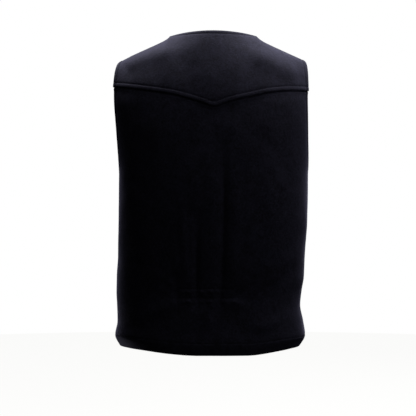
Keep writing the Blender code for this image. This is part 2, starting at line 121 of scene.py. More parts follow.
BACK_SCOOP, FRONT_SCOOP, FRONT_CUT_IN = 5.2, 5.9, 2.2  # how the armholes are cut
print(len(SECTIONS), "sections, the widest", max(s.left + s.right for s in SECTIONS), "cm")

# %% [markdown]
# Above the blades the cloth has to turn over the shoulders and climb to the neck. There the form is made
# of curved strips, one for each column of the cloth, that leave the top section and arrive at the neck
# edge or the shoulder.

# %% Neck, shoulders, front edge and yoke
NECK_LEFT, NECK_RIGHT, NECK_BACK, NECK_ROUND = 9.0, 9.4, 7.0, 1.5
NECK_CREST, NECK_SIDE = 0.2, -0.2
NECK_RISE, NECK_RISE_RUN = 0.5, 0.7
NECK_SHARE = 0.40  # of each half of the back's columns, those that end at the neck
NECK_LEAN, SHOULDER_LEAN = 30.0, 90.0  # degrees from upright in which the strips arrive
NECK_PULL, SHOULDER_PULL = 14.0, 2.0  # how full the strips' curves are
TIP_TUCK, BACK_TUCK_START, FRONT_TUCK_START = -2.0, 0.75, 0.55
TIP_LEFT, TIP_RIGHT, SHOULDER_SLOPE = 19.75, 19.65, 0.46

YokeEdge = namedtuple("YokeEdge", "x z")
YOKE_EDGE = (
    YokeEdge(-TIP_RIGHT, -12.35),
    YokeEdge(-16.5, -12.5),
    YokeEdge(-12.9, -12.85),
    YokeEdge(-7.9, -13.9),
    YokeEdge(-5.4, -14.47),
    YokeEdge(-2.9, -15.2),
    YokeEdge(-0.3, -16.0),
    YokeEdge(2.1, -15.25),
    YokeEdge(4.6, -14.45),
    YokeEdge(8.4, -13.45),
    YokeEdge(14.6, -12.45),
    YokeEdge(TIP_LEFT, -11.55),
)
YOKE_LIFT_SHARE = 0.3  # the share of the yoke's height that lies a whole layer further out

FrontEdge = namedtuple("FrontEdge", "level x")
FRONT_EDGE = (
    FrontEdge(HEM_LEVEL, -FRONT_LAP),
    FrontEdge(-28.5, -FRONT_LAP),
    FrontEdge(-25.5, -1.2),
    FrontEdge(-22.0, 0.25),
    FrontEdge(BLADE_LEVEL, 2.7),
)
print("shoulders", TIP_LEFT + TIP_RIGHT, "cm across, yoke point", -min(e.z for e in YOKE_EDGE), "cm down")

# %% [markdown]
# Three small functions do most of the work. A ramp eases from 0 to 1. A Hermite curve is a cubic with
# known ends and known directions there, so it is a sum of four things with weights. The last function
# strings such curves through the rows of a table without ever swinging past them, which an ordinary
# spline would do.

# %% Curves through a table
def ramp(start, end, value):
    """Rises smoothly from 0 at start to 1 at end."""
    share = np.clip((value - start) / (end - start), 0.0, 1.0)
    return share * share * (3.0 - 2.0 * share)


def hermite(t):
    """Weights of the start, of the direction there, of the end and of the direction there."""
    return (1 + 2 * t) * (1 - t) ** 2, t * (1 - t) ** 2, t * t * (3 - 2 * t), t * t * (t - 1)


def through(knots, values, at):
    """A smooth curve through a table's rows that never swings past them."""
    knots, values = np.asarray(knots, float), np.asarray(values, float)
    run = np.diff(knots)
    slope = np.diff(values) / run
    tangent = np.zeros(len(values))
    tangent[0], tangent[-1] = slope[0], slope[-1]
    before, after = slope[:-1], slope[1:]
    rises = before * after > 0
    heavy, light = 2 * run[1:] + run[:-1], run[1:] + 2 * run[:-1]
    safe_before, safe_after = np.where(rises, before, 1.0), np.where(rises, after, 1.0)
    mean = (heavy + light) / (heavy / safe_before + light / safe_after)
    tangent[1:-1] = np.where(rises, mean, 0.0)
    at = np.clip(at, knots[0], knots[-1])
    cell = np.clip(np.searchsorted(knots, at) - 1, 0, len(run) - 1)
    start, leave, end, arrive = hermite((at - knots[cell]) / run[cell])
    return (
        start * values[cell]
        + leave * run[cell] * tangent[cell]
        + end * values[cell + 1]
        + arrive * run[cell] * tangent[cell + 1]
    )


print("half way up a ramp:", ramp(0.0, 1.0, 0.5))

# %% [markdown]
# A section is a superellipse, which is an ellipse with its corners pushed out. It is measured along its
# own length from the centre, because cloth keeps its length: a column of the panel is then a place on the
# cloth, not in space.

# %% One level section
SECTION_STEPS = 240


def section_value(field, level):
    return through([s.level for s in SECTIONS], [getattr(s, field) for s in SECTIONS], level)


def section_curve(level, face):
    """Signed distances along a section from the centre, its points, and where the armholes cut it."""
    name = "back" if face > 0 else "front"
    square, scoop = (BACK_SQUARE, BACK_SCOOP) if face > 0 else (FRONT_SQUARE, FRONT_SCOOP)
    depth, dip = section_value(name, level), section_value(name + "_dip", level)
    share = np.clip((level - ARMPIT_LEVEL) / (BLADE_LEVEL - ARMPIT_LEVEL), 0.0, 1.0)
    edge_y = scoop * math.sqrt(1 - (1 - share) ** 2)
    halves, cuts = [], []
    for side, sign in (("right", -1), ("left", 1)):
        reach = section_value(side, level)
        if face < 0:
            reach = reach - FRONT_CUT_IN * math.sin(math.pi * share * 0.5) ** 2
        width = reach / (1 - (edge_y / depth) ** square) ** (1 / square)
        turn = np.linspace(0.0, 0.5 * np.pi, SECTION_STEPS)
        x = width * np.sin(turn) ** (2 / square)
        y = depth * np.clip(np.cos(turn), 0.0, 1.0) ** (2 / square)
        beside = np.abs(x - sign * DIP_CENTRE) / (width - sign * DIP_CENTRE)
        z = level - dip * (1 - ramp(DIP_FLAT, 1.0, beside))
        halves.append(np.column_stack([sign * x, y * face, z]))
        cuts.append(math.asin((reach / width) ** (square / 2)) / (0.5 * math.pi) * (SECTION_STEPS - 1))
    right, left = halves
    points = np.vstack([right[::-1], left[1:]])
    along = np.append(0.0, np.cumsum(np.linalg.norm(np.diff(points, axis=0), axis=1)))
    along -= along[SECTION_STEPS - 1]
    steps = np.arange(len(along)) - (SECTION_STEPS - 1)
    return along, points, np.interp([-cuts[0], cuts[1]], steps, along)


def at_distances(curve, distances):
    return np.column_stack([np.interp(distances, curve[0], curve[1][:, axis]) for axis in range(3)])


waist = section_curve(-54.7, 1)
print("the back is", round(waist[0][-1] - waist[0][0], 1), "cm round at the waist")

# %% [markdown]
# The back has columns from -1 at the right side seam to 1 at the left one. Where an armhole cuts into a
# section, only the columns beside it are drawn in. The strips over the shoulders need to know where they
# end and in which direction the cloth arrives: almost upright at the centre of the neck, level on top of
# the shoulder.

# %% The back's rows and its upper edge
def side_shift(share, whole, cut):
    """An armhole draws in the columns beside it, and leaves those near the centre where they are."""
    return (whole - cut) * share**4


def back_row(columns, level):
    curve = section_curve(level, 1)
    along, _, cuts = curve
    whole = np.where(columns < 0, -along[0], along[-1])
    cut = np.where(columns < 0, -cuts[0], cuts[1])
    share = np.abs(columns)
    return at_distances(curve, np.sign(columns) * (share * whole - side_shift(share, whole, cut)))


def shoulder_line(share, side):
    """Points on the shoulder seam, from the neck at share 0 to the tip at share 1."""
    neck, tip = (NECK_LEFT, TIP_LEFT) if side > 0 else (NECK_RIGHT, TIP_RIGHT)
    run = share * (tip - neck)
    height = NECK_SIDE - SHOULDER_SLOPE * run - NECK_RISE * (1 - np.exp(-run / NECK_RISE_RUN))
    return np.column_stack([side * (neck + run), np.zeros_like(run), height])


def back_top(columns):
    """The neck edge and both shoulder seams, and the direction in which the cloth arrives there."""
    share = np.abs(columns)
    on_neck = share <= NECK_SHARE
    turn = 0.5 * np.pi * np.minimum(share / NECK_SHARE, 1.0)
    neck = np.where(columns < 0, NECK_RIGHT, NECK_LEFT)
    height = NECK_SIDE + (NECK_CREST - NECK_SIDE) * np.cos(turn) ** 2
    back = NECK_BACK * np.clip(np.cos(turn), 0.0, 1.0) ** NECK_ROUND
    top = np.column_stack([np.sign(columns) * neck * np.sin(turn), back, height])
    for side in (1, -1):
        here = ~on_neck & (columns * side > 0)
        top[here] = shoulder_line((share[here] - NECK_SHARE) / (1 - NECK_SHARE), side)
    over = ramp(0.0, NECK_SHARE, share)
    lean = np.radians(NECK_LEAN + (SHOULDER_LEAN - NECK_LEAN) * over)
    base = back_row(columns, BLADE_LEVEL)
    pull = NECK_PULL + (SHOULDER_PULL * np.abs(base[:, 1] - top[:, 1]) - NECK_PULL) * over
    tuck = TIP_TUCK * np.sign(columns) * ramp(BACK_TUCK_START, 1.0, share)
    return top, np.column_stack([tuck, -np.sin(lean) * pull, np.cos(lean) * pull])


edge, _ = back_top(np.array([0.0, 1.0]))
print("centre back neck", edge[0].round(1), "left shoulder tip", edge[1].round(1))

# %% [markdown]
# A front has columns from 0 at its free edge to 1 at the side seam. Its free edge runs straight up from
# the hem, then leans away from the centre to make the V of the neck.

# %% The fronts' rows and upper edge
def front_row(columns, level, side):
    curve = section_curve(level, -1)
    inner = side * through([e.level for e in FRONT_EDGE], [e.x for e in FRONT_EDGE], level)
    along, points, cuts = curve
    start = np.interp(inner, points[:, 0], along)
    whole, cut = (along[-1], cuts[1]) if side > 0 else (along[0], cuts[0])
    return at_distances(curve, start + columns * (whole - start) - side_shift(columns, whole, cut))


def front_top(columns, side):
    top = shoulder_line(columns, side)
    base = front_row(columns, BLADE_LEVEL, side)
    pull = SHOULDER_PULL * np.abs(base[:, 1] - top[:, 1])
    tuck = TIP_TUCK * side * ramp(FRONT_TUCK_START, 1.0, columns)
    return top, np.column_stack([tuck, pull, 0.0 * pull])


print("left front at the armpit starts at x =", front_row(np.array([0.0]), ARMPIT_LEVEL, 1)[0].round(1))

# %% [markdown]
# Now every column can be followed from the hem to the top. Below the blades it takes the sections, above
# them a Hermite curve. A panel then takes its own levels from this sheet, so the yoke's slanted edge
# costs nothing extra.

# %% The whole form
BODY_STEPS, ARMHOLE_STEPS, STRIP_STEPS = 148, 104, 65
SLOPE_STEP = 0.5  # the form's slope at the blades is measured over this much below them
FORM_LEVELS = np.concatenate(
    [
        np.linspace(HEM_LEVEL, ARMPIT_LEVEL, BODY_STEPS, endpoint=False),
        np.linspace(ARMPIT_LEVEL, BLADE_LEVEL, ARMHOLE_STEPS, endpoint=False),
        np.linspace(BLADE_LEVEL, TOP_LEVEL, STRIP_STEPS),
    ]
)


def form(columns, row, top_of):
    """Every column's points at all levels, from the functions for a panel's rows and its upper edge."""
    base, below = row(columns, BLADE_LEVEL), row(columns, BLADE_LEVEL - SLOPE_STEP)
    rise = TOP_LEVEL - BLADE_LEVEL
    leave = (base - below) / SLOPE_STEP * rise
    top, arrive = top_of(columns)
    rows = []
    for level in FORM_LEVELS:
        weights = hermite(max(0.0, (level - BLADE_LEVEL) / rise))
        strip = sum(weight * part for weight, part in zip(weights, (base, leave, top, arrive)))
        rows.append(row(columns, level) if level <= BLADE_LEVEL else strip)
    return np.array(rows)


def taken(sheet, levels):
    """The form's points at each column's own levels."""
    out = np.empty(levels.shape + (3,))
    for column in range(levels.shape[1]):
        for axis in range(3):
            out[:, column, axis] = np.interp(levels[:, column], FORM_LEVELS, sheet[:, column, axis])
    return out


def yoke_levels(sheet, lift):
    """For each column, the level at which the form crosses the yoke's edge, or lies this far above it."""
    found = []
    for column in range(sheet.shape[1]):
        x, z = sheet[:, column, 0], sheet[:, column, 2]
        above = z - lift - through([e.x for e in YOKE_EDGE], [e.z for e in YOKE_EDGE], x)
        cell = int(np.argmax(above > 0))
        part = -above[cell - 1] / (above[cell] - above[cell - 1])
        found.append(FORM_LEVELS[cell - 1] + part * (FORM_LEVELS[cell] - FORM_LEVELS[cell - 1]))
    return np.array(found)


print(len(FORM_LEVELS), "levels in the form")

# %% [markdown]
# ## Folds
#
# A thick cloth does not crumple, it rolls in long soft waves. Each fold here is a curve through three
# points seen from the back or the front, with a width and a height, which is negative for a trough. Under
# the yoke point the back hangs in two long troughs. The elastic at the waist pulls short ones towards it,
# and below it the cloth drapes sideways.

# %% Folds of the back
Fold = namedtuple("Fold", "name x1 z1 x2 z2 x3 z3 width height")
BACK_FOLDS = (
    Fold("left shoulder roll", 18.2, -7.1, 14.2, -5.6, 7.0, -3.9, 1.3, 0.48),
    Fold("right shoulder roll", -18.4, -9.4, -13.2, -7.3, -7.5, -4.2, 1.5, 0.45),
    Fold("long trough", -2.4, -24.5, -2.2, -42.0, -1.3, -61.0, 0.6, -0.46),
    Fold("its right bank", -4.3, -30.0, -4.3, -42.0, -3.8, -53.0, 1.1, 0.32),
    Fold("middle ridge", 0.3, -29.0, 0.3, -38.0, 0.7, -51.5, 0.9, 0.16),
    Fold("left trough", 3.0, -37.5, 3.3, -48.0, 3.3, -57.5, 0.5, -0.36),
    Fold("left ridge", 6.2, -34.5, 5.9, -44.0, 5.5, -53.0, 0.6, 0.26),
    Fold("short trough", 7.6, -49.5, 7.4, -53.5, 7.2, -57.5, 0.5, -0.24),
    Fold("left drape", 14.0, -59.3, 9.6, -57.2, 5.0, -55.9, 0.8, 0.20),
    Fold("right drape", -2.1, -57.0, -4.0, -56.2, -7.5, -57.4, 0.7, 0.16),
    Fold("low drape", -7.4, -61.0, -11.0, -61.0, -14.4, -58.7, 0.8, 0.18),
    Fold("left blade", 15.5, -19.0, 14.0, -27.0, 13.6, -38.0, 1.8, -0.18),
    Fold("right blade", -16.0, -19.0, -14.8, -28.0, -14.0, -40.0, 1.8, -0.20),
    Fold("right waist", -17.0, -48.0, -14.0, -52.0, -9.0, -54.5, 1.1, -0.16),
)
FRONT_FOLDS = (
    Fold("left chest", 16.5, -27.0, 12.5, -33.0, 9.5, -42.0, 1.5, -0.24),
    Fold("right chest", -16.0, -28.0, -12.8, -35.0, -10.5, -45.0, 1.6, -0.22),
    Fold("left skirt", 10.0, -47.0, 10.8, -56.0, 11.6, -66.5, 1.4, 0.26),
    Fold("right skirt", -9.0, -50.0, -10.2, -58.0, -10.6, -66.5, 1.5, 0.24),
    Fold("left waist", 17.0, -49.0, 12.5, -52.5, 6.5, -53.5, 1.1, -0.18),
    Fold("right waist", -17.0, -50.0, -13.0, -54.0, -7.0, -55.5, 1.1, -0.18),
)
FOLD_FADE, FOLD_STEPS = 2.5, 121  # folds die away over this distance from a seam
FOLD_ENDS = ((-0.1, 0.3), (1.1, 0.7))  # each fold swells over these shares of its length
print(len(BACK_FOLDS), "folds behind and", len(FRONT_FOLDS), "in front")

# %% [markdown]
# The solids hold those folds. Finer ones belong to the cloth that is made here: narrow creases inside the
# troughs, small pulls beside the armholes and short waves that run into the elastic.

# %% Finer creases
BACK_CREASES = (
    Fold("core of the long trough", -2.3, -28.0, -2.2, -42.0, -1.5, -59.0, 0.30, -0.32),
    Fold("core of the left trough", 3.1, -42.0, 3.3, -49.0, 3.3, -56.5, 0.28, -0.27),
    Fold("upper right pull", -11.5, -20.0, -9.0, -25.0, -8.2, -33.0, 0.9, -0.07),
    Fold("upper left pull", 11.0, -19.0, 9.4, -25.0, 8.8, -34.0, 0.9, -0.07),
    Fold("ridge under the point", 1.2, -19.0, 1.0, -24.0, 0.5, -31.0, 0.8, 0.06),
    Fold("faint right ridge", -8.4, -36.0, -7.6, -44.0, -6.4, -52.0, 0.8, 0.08),
    Fold("faint left ridge", 8.4, -40.0, 7.6, -47.0, 6.8, -53.0, 0.7, 0.07),
    Fold("pull into the left of the elastic", 11.0, -51.5, 9.0, -53.2, 6.8, -54.6, 0.45, -0.08),
    Fold("pull into the right of the elastic", -9.0, -52.0, -6.8, -53.6, -4.4, -54.9, 0.45, -0.08),
    Fold("below the elastic, left", 3.9, -57.0, 4.3, -59.0, 5.2, -62.0, 0.55, 0.07),
    Fold("below the elastic, centre", 0.9, -57.0, 0.8, -59.5, 0.2, -62.5, 0.6, 0.08),
    Fold("below the elastic, right", -4.1, -57.4, -4.6, -59.4, -5.8, -62.0, 0.55, -0.06),
    Fold("left side pull", 18.5, -44.0, 17.0, -47.0, 14.0, -49.5, 0.7, -0.09),
    Fold("right side pull", -18.6, -41.0, -17.2, -44.0, -14.6, -46.5, 0.7, -0.09),
    Fold("left armhole pull", 18.4, -30.5, 16.4, -31.5, 13.4, -34.5, 0.8, -0.08),
    Fold("right armhole pull", -18.6, -31.0, -16.8, -32.0, -14.0, -35.5, 0.8, -0.08),
)
FRONT_CREASES = (
    Fold("left armhole pull", 17.5, -31.0, 15.0, -32.5, 11.5, -33.2, 0.7, -0.08),
    Fold("right armhole pull", -17.6, -31.5, -15.2, -33.2, -12.0, -34.6, 0.7, -0.09),
    Fold("left pocket place", 15.5, -43.0, 12.0, -44.2, 8.0, -44.0, 1.0, 0.06),
    Fold("right lower pull", -15.5, -45.0, -11.5, -47.2, -5.5, -47.4, 0.9, -0.07),
    Fold("left lap pull", 2.2, -38.5, 5.0, -39.6, 8.5, -41.8, 0.6, -0.06),
    Fold("right lap pull", -2.6, -46.0, -5.4, -47.0, -8.8, -49.4, 0.6, -0.06),
    Fold("left hem wave", 6.2, -58.0, 6.0, -62.0, 5.6, -66.5, 1.2, -0.12),
    Fold("right hem wave", -5.6, -57.0, -5.9, -61.5, -6.4, -66.5, 1.2, -0.11),
)


def fold_heights(points, folds):
    """How far the folds move each point out of the form."""
    total = np.zeros(points.shape[:2])
    t = np.linspace(0.0, 1.0, FOLD_STEPS)
    for fold in folds:
        path = [
            (1 - t) * (1 - 2 * t) * a + 4 * t * (1 - t) * b + t * (2 * t - 1) * c
            for a, b, c in ((fold.x1, fold.x2, fold.x3), (fold.z1, fold.z2, fold.z3))
        ]
        away = np.hypot(points[..., 0, None] - path[0], points[..., 2, None] - path[1])
        nearest = t[np.argmin(away, axis=-1)]
        taper = np.prod([ramp(flat, full, nearest) for flat, full in FOLD_ENDS], axis=0)
        total += fold.height * taper * np.exp(-0.5 * (away.min(axis=-1) / fold.width) ** 2)
    return total


print(len(BACK_CREASES) + len(FRONT_CREASES), "finer creases")

# %% [markdown]
# Between the folds a cloth is never quite flat. A handful of long waves with chosen directions and
# lengths, added together, gives it a soft unevenness. The random numbers start from a fixed seed, so each
# run gives the same cloth.

# %% Soft unevenness
WAVE_SIZES = ((11.0, 0.040), (5.5, 0.020), (2.6, 0.008))  # wave length and height
WAVES_EACH = 12
chance = np.random.default_rng(7)
wave_lines = chance.normal(size=(len(WAVE_SIZES), WAVES_EACH, 3))
wave_lines /= np.linalg.norm(wave_lines, axis=-1, keepdims=True)
wave_starts = chance.uniform(0.0, 2 * np.pi, size=(len(WAVE_SIZES), WAVES_EACH))


def soft_waves(points):
    total = np.zeros(points.shape[:2])
    for (length, height), lines, starts in zip(WAVE_SIZES, wave_lines, wave_starts):
        for line, start in zip(lines, starts):
            total += height / math.sqrt(WAVES_EACH) * np.sin(2 * np.pi / length * (points @ line) + start)
    return total


print(WAVES_EACH * len(WAVE_SIZES), "waves")

# %% [markdown]
# The elastic casing is a short channel at the small of the back, between two rows of stitches. The
# elastic inside is shorter than the channel, so it draws the cloth up: each row is a dented line, and
# under it stand small puckers.

# %% Gathers over the elastic
CASING_LEFT, CASING_RIGHT, CASING_FADE = 7.4, -4.6, 0.8
CASING_ROWS = (-53.35, -55.2)
CASING_DENT, DENT_WIDTH = 0.06, 0.13
PUCKER_TALL = 0.27

Pucker = namedtuple("Pucker", "row x drop width height")  # drop is how far it stands under its row
PUCKERS = (
    Pucker(0, 6.3, 0.60, 0.22, 0.14),
    Pucker(0, 5.1, 0.68, 0.34, 0.26),
    Pucker(0, 3.6, 0.50, 0.24, 0.12),
    Pucker(0, 2.1, 0.62, 0.30, 0.22),
    Pucker(0, 0.3, 0.60, 0.32, 0.26),
    Pucker(0, -1.0, 0.55, 0.24, 0.20),
    Pucker(0, -2.1, 0.75, 0.22, 0.16),
    Pucker(0, -3.7, 0.95, 0.30, 0.10),
    Pucker(1, 8.2, 0.85, 0.36, 0.12),
    Pucker(1, 6.2, 0.80, 0.26, 0.14),
    Pucker(1, 5.0, 0.72, 0.34, 0.24),
    Pucker(1, 3.4, 1.05, 0.22, 0.12),
    Pucker(1, 2.4, 0.72, 0.18, 0.18),
    Pucker(1, 0.6, 0.80, 0.36, 0.28),
    Pucker(1, 0.3, 1.60, 0.40, 0.14),
    Pucker(1, -0.9, 0.95, 0.20, 0.10),
    Pucker(1, -2.2, 0.70, 0.26, 0.20),
    Pucker(1, -4.4, 0.78, 0.34, 0.16),
)


def gather_heights(points):
    x, z = points[..., 0], points[..., 2]
    across = ramp(CASING_RIGHT, CASING_RIGHT + CASING_FADE, x)
    across = across * ramp(CASING_LEFT, CASING_LEFT - CASING_FADE, x)
    total = np.zeros(x.shape)
    for row in CASING_ROWS:
        total -= CASING_DENT * across * np.exp(-0.5 * ((z - row) / DENT_WIDTH) ** 2)
    for pucker in PUCKERS:
        beside = (x - pucker.x) / pucker.width
        under = (z - CASING_ROWS[pucker.row] + pucker.drop) / PUCKER_TALL
        total += pucker.height * np.exp(-0.5 * (beside**2 + under**2))
    return total


print(len(PUCKERS), "puckers under", len(CASING_ROWS), "rows of stitches")

# %% [markdown]
# ## Edges
#
# Cloth looks thick because of its edges. What an edge does to the cloth depends only on how far a point
# is from it, so that distance is measured first, to the nearest stretch of the edge and not just to its
# nearest point.

# %% Distance from an edge
def away_from(line, points):
    """How far each point of a panel is from a line of points."""
    tree = KDTree(len(line))
    for index, point in enumerate(line):
        tree.insert(point, index)
    tree.balance()
    flat = points.reshape(-1, 3)
    nearest = np.array([tree.find(point)[1] for point in flat])
    best = np.full(len(flat), np.inf)
    for step in (-1, 0):
        first = np.clip(nearest + step, 0, len(line) - 2)
        start, run = line[first], line[first + 1] - line[first]
        part = np.clip(np.sum((flat - start) * run, axis=1) / np.sum(run * run, axis=1), 0.0, 1.0)
        best = np.minimum(best, np.linalg.norm(flat - start - part[:, None] * run, axis=1))
    return best.reshape(points.shape[:2])


print("from the origin to a slanted line:", away_from(np.eye(3)[:2], np.zeros((1, 1, 3)))[0, 0].round(3))

# %% [markdown]
# Near a turned edge the two layers make a soft band, which ends in the groove that the topstitching pulls
# in, and the fold itself is round. An armhole's edge also curls a little towards the body. At a plain
# seam the two panels roll into a narrow ditch.

# %% The profile of an edge
BAND_HEIGHT, BAND_RISE = 0.035, 0.3  # a turned edge stands this far proud, and rises over this distance
BAND_END = (0.05, -0.2)  # it sinks between these distances from its stitching
GROOVE_DEPTH, GROOVE_WIDTH, HEM_GROOVE = 0.06, 0.12, 0.035
DITCH_DEPTH, DITCH_WIDTH = 0.05, 0.40
ROUNDS = {"turned": 0.12, "seam": 0.08, "raw": 0.04}  # radii of a fold, a seam's edge and a cut edge
ROLL_IN = 0.08  # how far an armhole's edge curls towards the body

Edge = namedtuple("Edge", "name line kind stitched groove", defaults=(GROOVE_DEPTH,))


def rounded(away, radius):
    """How far the surface falls back at a round edge."""
    inside = radius - np.minimum(away, radius)
    return radius - np.sqrt(np.maximum(radius * radius - inside * inside, 0.0))


def edge_heights(away, edge):
    """How far an edge's band, curl, ditch and groove move points that are this far from it."""
    heights = 0.0 * away
    if edge.kind == "turned":
        low, full = (edge.stitched + step for step in BAND_END)
        heights += BAND_HEIGHT * ramp(0.0, BAND_RISE, away) * ramp(low, full, away)
    if "armhole" in edge.name:
        heights -= ROLL_IN * np.clip(1 - away / edge.stitched, 0.0, 1.0) ** 2
    if edge.kind == "seam":
        heights -= DITCH_DEPTH * np.exp(-((away / DITCH_WIDTH) ** 2))
    if edge.stitched:
        heights -= edge.groove * np.exp(-0.5 * ((away - edge.stitched) / GROOVE_WIDTH) ** 2)
    return heights


print("the band stands", 10 * BAND_HEIGHT, "mm proud, its groove is", 10 * GROOVE_DEPTH, "mm deep")

# %% [markdown]
# ## Panels
#
# A panel is a grid whose points are moved to their places, then extruded to its inner side. The grid is
# close near the edges, where the profile needs it, and about 3 mm elsewhere.

# %% Columns and rows that are closer at the edges
EDGE_STEPS = np.append([0.0, 0.03, 0.08, 0.15], np.arange(0.24, 1.5, 0.11))  # distances from an edge
CELL, GROOVE_CELL, PUCKER_CELL = 0.30, 0.10, 0.14

Stretch = namedtuple("Stretch", "end cell")
LOW_STRETCHES = (
    Stretch(HEM_LEVEL + 1.8, CELL),
    Stretch(HEM_LEVEL + 3.2, GROOVE_CELL),
    Stretch(-58.0, CELL),
    Stretch(-52.5, PUCKER_CELL),
    Stretch(ARMPIT_LEVEL, CELL),
    Stretch(BLADE_LEVEL - 2.5, CELL),
)
BACK_HALF, FRONT_HALF = 25.0, 24.0  # about the cloth from the centre to the side seam


def graded(start, end, cell, fine_start, fine_end, scale=1.0):
    """Numbers from start to end, a cell apart, and closer at the ends that are fine."""
    head = start + scale * EDGE_STEPS if fine_start else np.array([start])
    tail = end - scale * EDGE_STEPS[::-1] if fine_end else np.array([end])
    count = max(1, round((tail[0] - head[-1]) / cell))
    middle = np.linspace(head[-1], tail[0], count + 1)[1:-1]
    return np.concatenate([head, middle, tail])


def linked(*stretches):
    """Stretches one after another, where each starts at the last one's end."""
    return np.concatenate([stretches[0]] + [stretch[1:] for stretch in stretches[1:]])


back_columns = linked(
    graded(-1.0, -NECK_SHARE, CELL / BACK_HALF, True, False, 1 / BACK_HALF),
    graded(-NECK_SHARE, NECK_SHARE, CELL / BACK_HALF, False, False),
    graded(NECK_SHARE, 1.0, CELL / BACK_HALF, False, True, 1 / BACK_HALF),
)
front_columns = graded(0.0, 1.0, CELL / FRONT_HALF, True, True, 1 / FRONT_HALF)
starts = [HEM_LEVEL] + [stretch.end for stretch in LOW_STRETCHES]
low_levels = linked(
    *(
        graded(start, stretch.end, stretch.cell, start == HEM_LEVEL, False)
        for start, stretch in zip(starts, LOW_STRETCHES)
    )
)
print(len(back_columns), "columns in the back and", len(front_columns), "in each front")

# %% [markdown]
# Each point also needs its outward direction. On a grid that is the cross product of the two directions
# along the rows and the columns. Where a panel is sewn to another, the direction is kept in the plane of
# the seam, so that both walls stay side by side.

# %% Outward directions and fading towards the seams
def normals_of(points, sewn=None):
    """Outward directions of a grid's points, level with the seam where sewn is true."""
    normal = np.cross(np.gradient(points, axis=1), np.gradient(points, axis=0))
    middle = len(points) // 2
    normal *= np.sign(np.sum(normal[middle, :, 1] * points[middle, :, 1]))
    if sewn is not None:
        normal[..., 1] = np.where(sewn, 0.0, normal[..., 1])
    return normal / np.linalg.norm(normal, axis=-1, keepdims=True)


def lengths(points, axis):
    """Distance along each row or column from its start."""
    steps = np.linalg.norm(np.diff(points, axis=axis), axis=-1)
    first = np.zeros_like(np.take(steps, [0], axis=axis))
    return np.concatenate([first, np.cumsum(steps, axis=axis)], axis=axis)


def edge_fade(points, sides, top):
    """1 inside a panel, 0 at the edges where it is sewn to another."""
    along, up = lengths(points, 1), lengths(points, 0)
    fade = np.ones(points.shape[:2])
    if "start" in sides:
        fade *= ramp(0.0, FOLD_FADE, along)
    if "end" in sides:
        fade *= ramp(0.0, FOLD_FADE, along[:, -1:] - along)
    if top:
        fade *= ramp(0.0, FOLD_FADE, up[-1] - up)
    return fade


def hem_thickness(levels):
    """The hem is turned up inside, so the wall is double there."""
    stitching = HEM_LEVEL + HEM_TURN
    return CLOTH * (2.0 - ramp(stitching - HEM_STEP, stitching + HEM_STEP, levels))


# %% [markdown]
# This function makes the mesh. The UV map holds real distances along the cloth, across in U and up in V,
# so that the nap can follow the cloth over the shoulders at its real scale.

# %% One panel of cloth
def cloth_panel(name, outer, inner):
    """A closed mesh between two grids of points."""
    rows, columns = outer.shape[:2]
    across, up = lengths(outer, 1), lengths(outer, 0)
    across = across - across[:, columns // 2, None]
    bm = bmesh.new()
    bmesh.ops.create_grid(bm, x_segments=columns - 1, y_segments=rows - 1, size=0.5)
    made = bmesh.ops.extrude_face_region(bm, geom=bm.faces[:], use_keep_orig=True)
    inside = {item for item in made["geom"] if isinstance(item, bmesh.types.BMVert)}
    places = {}
    for vert in bm.verts:
        cell = round((vert.co.y + 0.5) * (rows - 1)), round((vert.co.x + 0.5) * (columns - 1))
        places[vert] = cell
        vert.co = (inner if vert in inside else outer)[cell] * CM
    if bm.calc_volume(signed=True) < 0:
        bmesh.ops.reverse_faces(bm, faces=bm.faces)
    uv = bm.loops.layers.uv.new("cloth")
    for face in bm.faces:
        for loop in face.loops:
            loop[uv].uv = across[places[loop.vert]] * CM, up[places[loop.vert]] * CM
        face.smooth = True
    mesh = bpy.data.meshes.new(name)
    bm.to_mesh(mesh)
    bm.free()
    return show(name, mesh)


def show(name, mesh):
    piece = bpy.data.objects.new(name, mesh)
    bpy.context.collection.objects.link(piece)
    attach(piece, "root")
    return piece


# %% [markdown]
# A finished panel is the form, moved out by folds and unevenness, then by the profile of each edge. The
# inner side follows at one thickness of cloth, or nearly two along a turned edge.

# %% Dress a panel
TURN_EXTRA = 0.8 * CLOTH
TURN_END, TURN_FULL = EDGE_TURN + 0.15, EDGE_TURN - 0.05  # the second layer ends between these distances
Panel = namedtuple("Panel", "name outer normals away edges piece")


def dressed(name, points, sewn, edges, thickness, doubled, raised=0.0):
    """doubled is how much of the turned edges' second layer each point has, from 0 to 1."""
    normals = normals_of(points, sewn)
    away = {edge.name: away_from(edge.line, points) for edge in edges}
    heights = raised + sum(edge_heights(away[edge.name], edge) for edge in edges)
    back = np.maximum.reduce([rounded(away[edge.name], ROUNDS[edge.kind]) for edge in edges])
    turned = [edge.name for edge in edges if edge.kind == "turned"]
    narrow = [away[edge_name] for edge_name in turned if edge_name not in ("hem", "yoke edge")]
    nearest = np.minimum.reduce(narrow)
    thickness = thickness + TURN_EXTRA * doubled * ramp(TURN_END, TURN_FULL, nearest)
    outer = points + normals * (heights - back)[..., None]
    inner = points - normals * (thickness - back)[..., None]
    piece = cloth_panel(name, outer, inner)
    print(name, "has", len(piece.data.polygons), "faces")
    return Panel(name, outer, normals_of(outer), away, {edge.name: edge for edge in edges}, piece)


# %% [markdown]
# The back body runs from the hem to just under the yoke. Its upper edge is left raw, because the yoke
# covers it.

# %% Back body
ARMHOLE_STITCH, NECK_STITCH, YOKE_STITCH, HEM_STITCH = 0.9, 0.8, 0.9, HEM_TURN
FRONT_STITCH, SHOULDER_STITCH = 0.8, 1.6
SWELL_DROP, SWELL_WIDTH, SWELL_HEIGHT = 0.42, 0.16, 0.10  # the cloth swells out again under the yoke
CLIMB_ROWS, LAP_ROWS = 19, 12  # from the level rows to the yoke's edge, and under the yoke
DOUBLE_RISE = 2.0  # above the armpit the armhole's second layer thickens over this much

